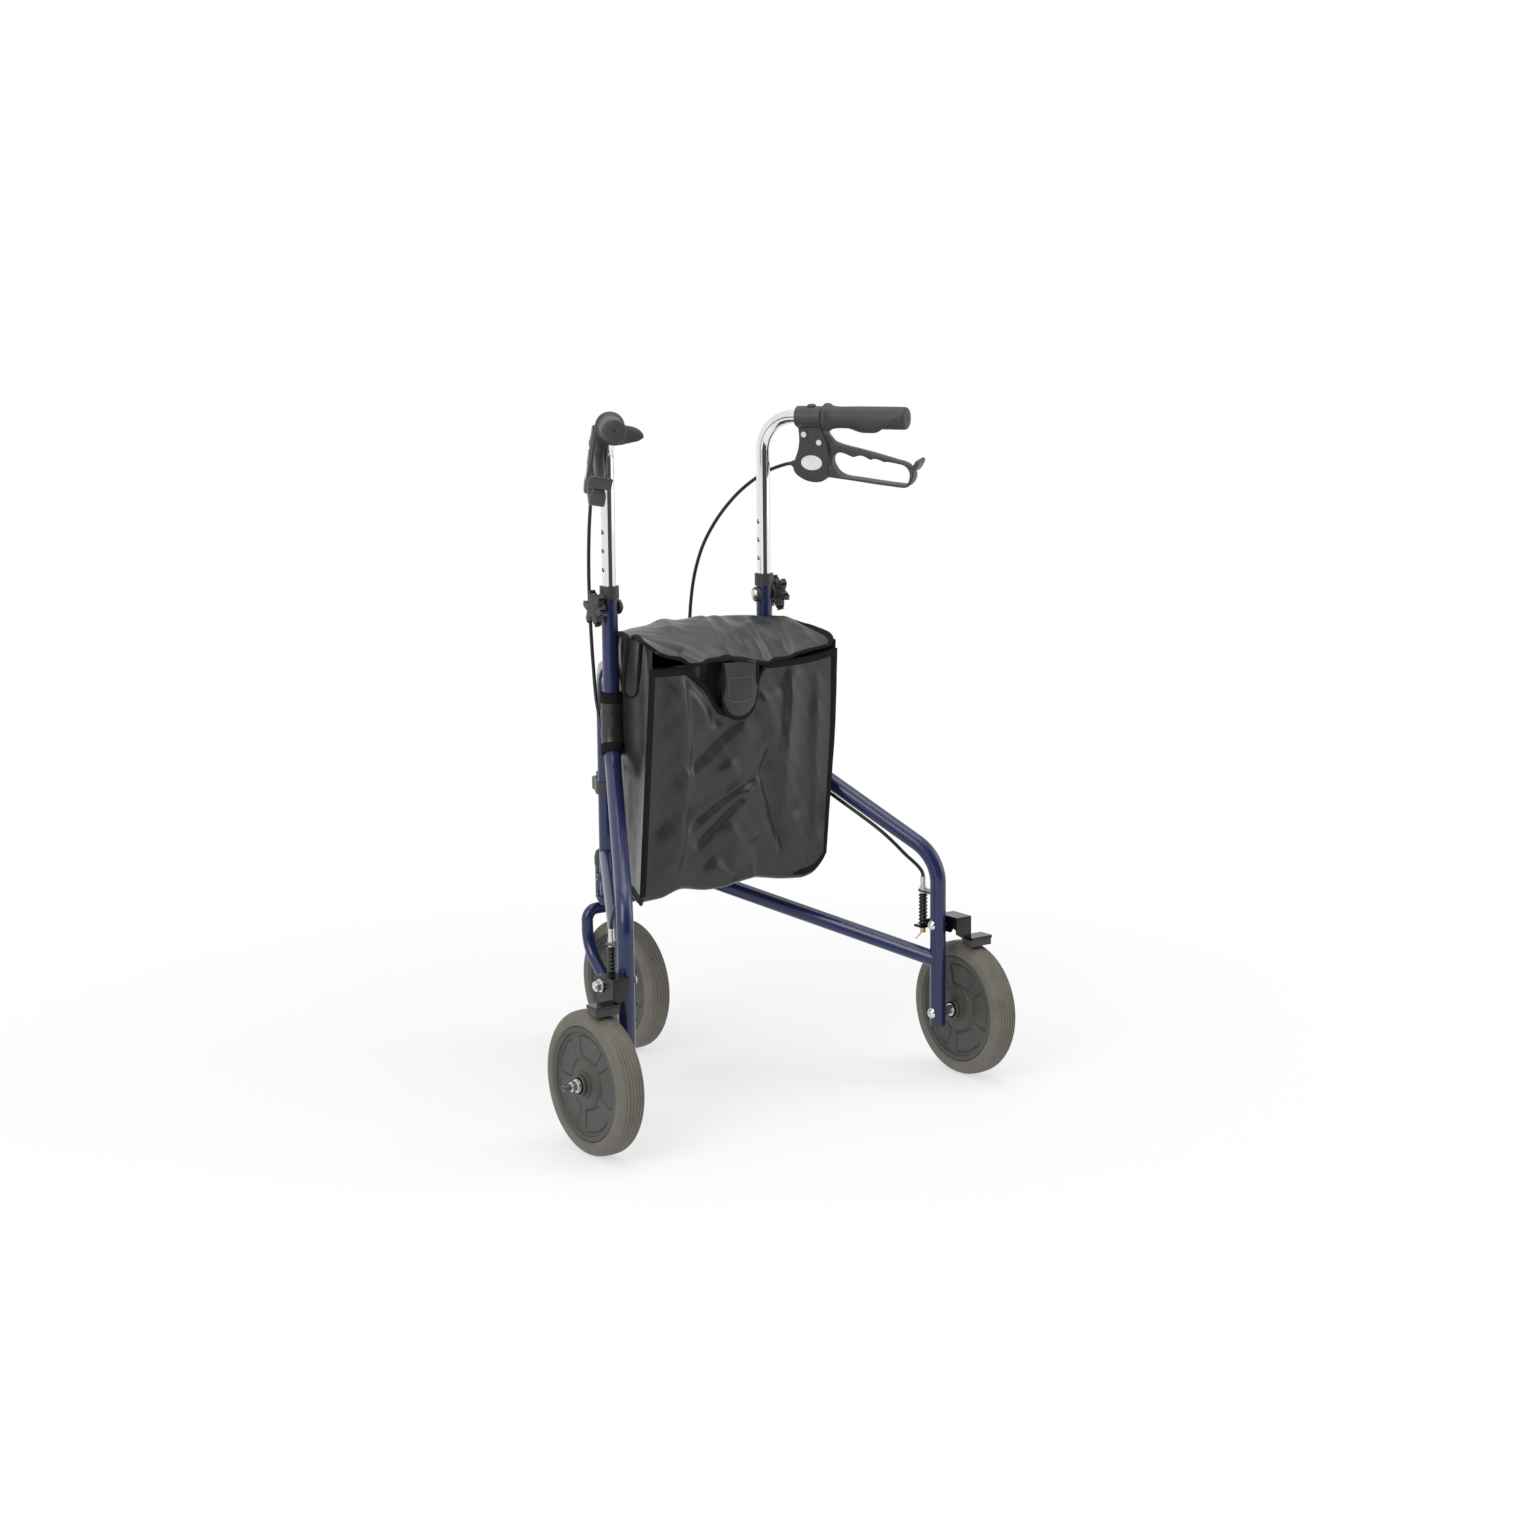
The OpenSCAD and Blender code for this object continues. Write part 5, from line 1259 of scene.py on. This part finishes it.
def sleeve_path():
    """Points down the upright and some way round the bend below it."""
    path = [in_frame(UPRIGHT_REACH, 0, z) for z in np.linspace(SLEEVE_TOP_Z, BEND_Z, 8)]
    for a in np.linspace(0, SLEEVE_TURN, 7)[1:]:
        path.append(in_frame(UPRIGHT_REACH + BEND_R * (1 - math.cos(a)), 0, BEND_Z - BEND_R * math.sin(a)))
    return path


def hollow(path, outer, inner, sides=28):
    """A thin tube along a path, with its outer radius at each point and its inner radius."""
    rings = []
    for radius in (outer, lambda i: inner):
        points = sweep(path, lambda i: round_section(radius(i), sides))[0]
        rings.append([points[k:k + sides] for k in range(0, len(points), sides)])
    return loft(rings[0] + rings[1][::-1], caps=False, looped=True)


def sleeve(side):
    """The cloth sleeve on the upright, with its two bindings."""
    path = sleeve_path()
    bore = TUBE_R + 0.3
    swell = [0.6 + 0.5 * math.sin(i * 1.7) for i in range(len(path))]
    shape = hollow(path, lambda i: SLEEVE_R + swell[i], bore + 0.3)
    bands = [hollow(part, lambda i: SLEEVE_R + 1.9, bore) for part in (path[:3], path[-3:])]
    obj = sided("bag_sleeve", shape, "bag_vinyl", side, "frame")
    obj.name = f"{side}_bag_sleeve"
    band = sided("sleeve_binding", join(*bands), "bag_vinyl", side, "frame", finish="bag_binding")


STRAP_AT, STRAP_W, STRAP_DROP = 150, 30, 44
STRAP_R, STRAP_OUT = 12.6, 13.4
UPPER_BAR_Z = 570


def strap(side):
    """The strap over the upper bar, with its rounded end hanging outboard."""
    over = [(STRAP_R * math.cos(a), STRAP_R * math.sin(a)) for a in np.radians(np.linspace(180, 0, 15))]
    outside = [(STRAP_OUT, -STRAP_DROP * t) for t in np.linspace(0.12, 1, 10)]
    run = [(-12.4, -12.0), (-STRAP_R, -6.0)] + over + outside
    rows = []
    for k in np.linspace(0, 1, 17):
        tuck = STRAP_W / 2 * (1 - math.sqrt(max(1 - (2 * k - 1) ** 2, 0)))
        row = []
        for out, up in run:
            end = max(0, (-up - STRAP_DROP * 0.55) / (STRAP_DROP * 0.45)) if out == STRAP_OUT else 0
            point = STRAP_AT + STRAP_W * k, out, UPPER_BAR_Z + up + tuck * end
            row.append(list(in_frame(*point)))
        rows.append(row)
    rows = np.array(rows)
    normals = facing(rows, np.array(in_frame(0, 1, 0) - in_frame(0, 0, 0)))
    obj = sided("bag_strap", cloth(rows, normals, 1.2), "bag_vinyl", side, "frame", finish="bag_binding")
    declare(rows, flat=(STRAP_W, flat_size(rows)[0]))


def flat_lid(obj):
    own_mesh(obj)
    return obj


def lid():
    rows = lid_rows(np.linspace(-1, 1, BAG_COLUMNS))
    normals = facing(rows, np.array([0, 0, 1]))
    obj = flat_lid(bag_piece("bag_lid_skin", cloth(rows, normals, 2.0), "bag_lid", stands_for=["bag_lid"]))
    edges = ("first_column", "last_row", "last_column", "first_row")
    tapes = [edge_tape(rows, normals, e) for e in edges]
    tape = flat_lid(bag_piece("bag_lid_binding", join(*tapes), "bag_lid", "bag_binding"))
    extras = [tape] + tongue()
    declare(rows)


TONGUE = (-37.0, 21.0, 603.0, 524.0)
TONGUE_END = 30.0
TONGUE_BACK, TONGUE_BOW, TONGUE_LEAN, TONGUE_WAVE = 108.5, 2.2, 3.5, 1.3


def hanging_edge(rows, normals):
    """Points and normals down one side of a cloth, along its foot and up its other side."""
    return [np.concatenate([a[:-1, 0], a[-1], a[:-1, -1][::-1]]) for a in (rows, normals)]


def tongue():
    """The stitched tongue on the lid's rear edge."""
    left, right, top, low = TONGUE
    share = np.linspace(-1, 1, 25)
    x = (left + right) / 2 + share * (right - left) / 2
    foot = low + TONGUE_END * (1 - np.sqrt(np.clip(1 - np.abs(share) ** 2.3, 0, 1)))
    rows = []
    for t in np.linspace(0, 1, 30):
        z = top + (foot - top) * t
        wave = TONGUE_WAVE * np.sin(x / 15 + 3 * t) * t
        off = TONGUE_BACK + TONGUE_BOW * math.sin(math.pi * t) - TONGUE_LEAN * t + wave
        rows.append(np.stack([x, -off, z], 1))
    rows = np.array(rows)
    normals = facing(rows, np.array([0, -1, 0]))
    obj = flat_lid(bag_piece("bag_tongue", cloth(rows, normals, 2.6), "bag_lid"))
    edge, edge_n = hanging_edge(rows, normals)
    into = unit(rows.mean((0, 1)) - edge)
    binding = edging(edge, into, edge_n, 7.0, 4.2)
    tape = flat_lid(bag_piece("tongue_binding", binding, "bag_lid", "bag_binding"))
    lines = [stitches(rows[t, 3:-3], normals[t, 3:-3]) for t in (8, 20)]
    lines += [stitches(rows[8:21, k], normals[8:21, k]) for k in (4, -5)]
    thread = flat_lid(bag_piece("tongue_stitches", join(*lines), "bag_lid", "thread"))
    declare(rows, flat=(right - left, top - low))
    return [tape, thread]


LINING_LEFT, LINING_Y = -130, -84
LINING_Z = (602, 530)


def lining():
    """The inside of the bag, seen through the opening left of the tongue."""
    x = np.linspace(LINING_LEFT, 0, 30)
    rows = []
    for z in np.linspace(*LINING_Z, 14):
        sway = 3.5 * np.sin(x / 17 + z / 40) + 2 * np.sin(x / 7 - z / 25)
        rows.append(np.stack([x, LINING_Y + sway * np.clip(-x / 20, 0, 1), np.full_like(x, z)], 1))
    rows = np.array(rows)
    obj = bag_piece("left_bag_lining", cloth(rows, facing(rows, np.array([0, -1, 0])), 1.2), None)
    with_side(obj)
    declare(rows)


TAB_AT = (-156.0, -66.0)
TAB_ACROSS = (0.82, -0.57)
TAB_W, TAB_TOP, TAB_LOW, TAB_END = 21.0, 642.0, 563.0, 11
TAB_BOW, TAB_LEAN, TAB_CUP, TAB_SHIFT = 2.5, 5, 1.2, 7


def side_tab():
    """The tab with a rounded end that hangs at the bag's left side, near the rear edge."""
    share = np.linspace(-1, 1, 17)
    across = np.array([*TAB_ACROSS, 0.0])
    off = np.array([TAB_ACROSS[1], -TAB_ACROSS[0], 0.0])
    foot = TAB_LOW + TAB_END * (1 - np.sqrt(np.clip(1 - share**2, 0, 1)))
    tab = []
    for t in np.linspace(0, 1, 26):
        lean = TAB_BOW * math.sin(math.pi * t) - TAB_LEAN * (1 - t) ** 2 + TAB_CUP * share**2
        p = np.array([*TAB_AT, 0.0]) + np.outer(share * TAB_W / 2, across) + np.outer(lean, off)
        p[:, 0] += TAB_SHIFT * (1 - t)
        p[:, 2] = TAB_TOP + (foot - TAB_TOP) * t
        tab.append(p)
    tab = np.array(tab)
    n = facing(tab, off)
    obj = bag_piece("left_bag_tab", cloth(tab, n, 2.2), None)
    with_side(obj)
    edge, edge_n = hanging_edge(tab, n)
    centre = tab.mean((0, 1))
    into = unit(np.stack([centre[0] - edge[:, 0], centre[1] - edge[:, 1], 0 * edge[:, 2] + 3], 1))
    tape = bag_piece("left_tab_binding", edging(edge, into, edge_n, 5.0, 4.0), None, "bag_binding")
    with_side(tape)
    declare(tab, flat=(TAB_W, TAB_TOP - TAB_LOW))


def bag():
    bag_body()
    for side in SIDES:
        sleeve(side)
        strap(side)
        gusset(side)
    side_tab()
    lining()
    lid()


bag()


# Stage, light and camera
CAMERA_AT = Vector((-2.1445, -3.1472, 1.1128))
CAMERA_YAW, CAMERA_PITCH, CAMERA_ROLL = [math.radians(a) for a in (36.49, -10.24, -0.33)]
FRAME_PX = 1536
FOCAL_PX = 2796.68
CENTRE_PX = (807.91, 779.62)


def camera():
    cy, sy = math.cos(CAMERA_YAW), math.sin(CAMERA_YAW)
    cp, sp = math.cos(CAMERA_PITCH), math.sin(CAMERA_PITCH)
    cr, sr = math.cos(CAMERA_ROLL), math.sin(CAMERA_ROLL)
    ahead = Vector((sy * cp, cy * cp, sp))
    level = Vector((cy, -sy, 0))
    above = level.cross(ahead)
    data = bpy.data.cameras.new("camera")
    data.sensor_width = 36
    data.lens = data.sensor_width * FOCAL_PX / FRAME_PX
    data.shift_x = (FRAME_PX / 2 - CENTRE_PX[0]) / FRAME_PX
    data.shift_y = (CENTRE_PX[1] - FRAME_PX / 2) / FRAME_PX
    obj = bpy.data.objects.new("camera", data)
    obj.matrix_world = basis(CAMERA_AT, level * cr + above * sr, above * cr - level * sr, -ahead)
    bpy.context.scene.collection.objects.link(obj)
    bpy.context.scene.camera = obj


SMOOTH = [("interpolation_type", "SMOOTHSTEP")]
FLOOR_HALF = 9000
CARD_R = 2700
CARD_Z = (20, 1520)


def floor():
    """A wide pale floor that fades into the white background."""
    f = Finish("studio_floor", Base_Color=(0.93, 0.93, 0.93, 1), Roughness=0.7, Specular_IOR_Level=0.1)
    away = f.node("VectorMath", "Value", [("operation", "LENGTH")], Vector=f.place)
    fade = f.spread(away, 0.6, 1.0, SMOOTH, From_Min=0.35, From_Max=1.35)
    both = f.node("MixShader", Fac=fade, Shader=[f.shader.outputs[0], f.node("Emission")])
    f.set(f.tree.nodes["Material Output"], {"Surface": both})
    corners = [(x * FLOOR_HALF, y * FLOOR_HALF, 0) for x, y in ((-1, -1), (1, -1), (1, 1), (-1, 1))]
    new_object("floor", (corners, [(0, 1, 2, 3)]), f.material)


def world():
    """White to the camera, a bright room with one dark side to reflections, and even grey light."""
    w = bpy.data.worlds.new("studio")
    bpy.context.scene.world = w
    w.use_nodes = True
    n = Nodes(w.node_tree)
    ray = n.node("LightPath").node.outputs
    dark_way = Vector((-0.2, -0.98, 0.05)).normalized()
    toward = n.node("VectorMath", "Value", [("operation", "DOT_PRODUCT")],
                    Vector=[n.node("TexCoord", "Generated"), dark_way])
    room = n.spread(toward, 0.95, 0.1, SMOOTH, From_Min=0.55, From_Max=0.9)
    reflected = [ray["Is Glossy Ray"], ray["Is Transmission Ray"]]
    mirror = n.node("Math", 0, [("operation", "MAXIMUM")], Value=reflected)
    lit = n.node("Mix", "Result", Factor=mirror, A=0.5, B=room)
    seen = n.node("Mix", "Result", Factor=ray["Is Camera Ray"], A=lit, B=1.0)
    n.set(n.tree.nodes["Background"], {"Color": (1, 1, 1, 1), "Strength": seen})


def lamp(name, at, target, size, power):
    data = bpy.data.lights.new(name, "AREA")
    data.shape = "RECTANGLE"
    data.size, data.size_y = size
    data.energy = power
    obj = bpy.data.objects.new(name, data)
    obj.location = at
    obj.rotation_euler = (Vector(target) - Vector(at)).to_track_quat("-Z", "Y").to_euler()
    bpy.context.scene.collection.objects.link(obj)


def lights():
    middle = (0, 0, 0.45)
    lamp("key", (-2.4, -1.0, 1.9), middle, (1.4, 1.8), 34)
    lamp("top", (0.2, -0.3, 3.0), middle, (2.2, 2.2), 34)
    lamp("fill", (2.2, -1.4, 1.3), middle, (1.2, 1.6), 12)


def dark_card():
    """A dark flag beside the camera, seen only in reflections."""
    turns = np.radians(np.linspace(226, 292, 14))
    edges = [[(CARD_R * math.cos(a), CARD_R * math.sin(a), z) for a in turns] for z in CARD_Z]
    obj = new_object("dark_card", loft(edges, caps=False, closed=False), FINISHES["black_plastic"])
    obj.visible_camera = False
    obj.visible_diffuse = False
    obj.visible_shadow = False


camera()
floor()
dark_card()
world()
lights()
bpy.context.scene.view_settings.view_transform = "Standard"
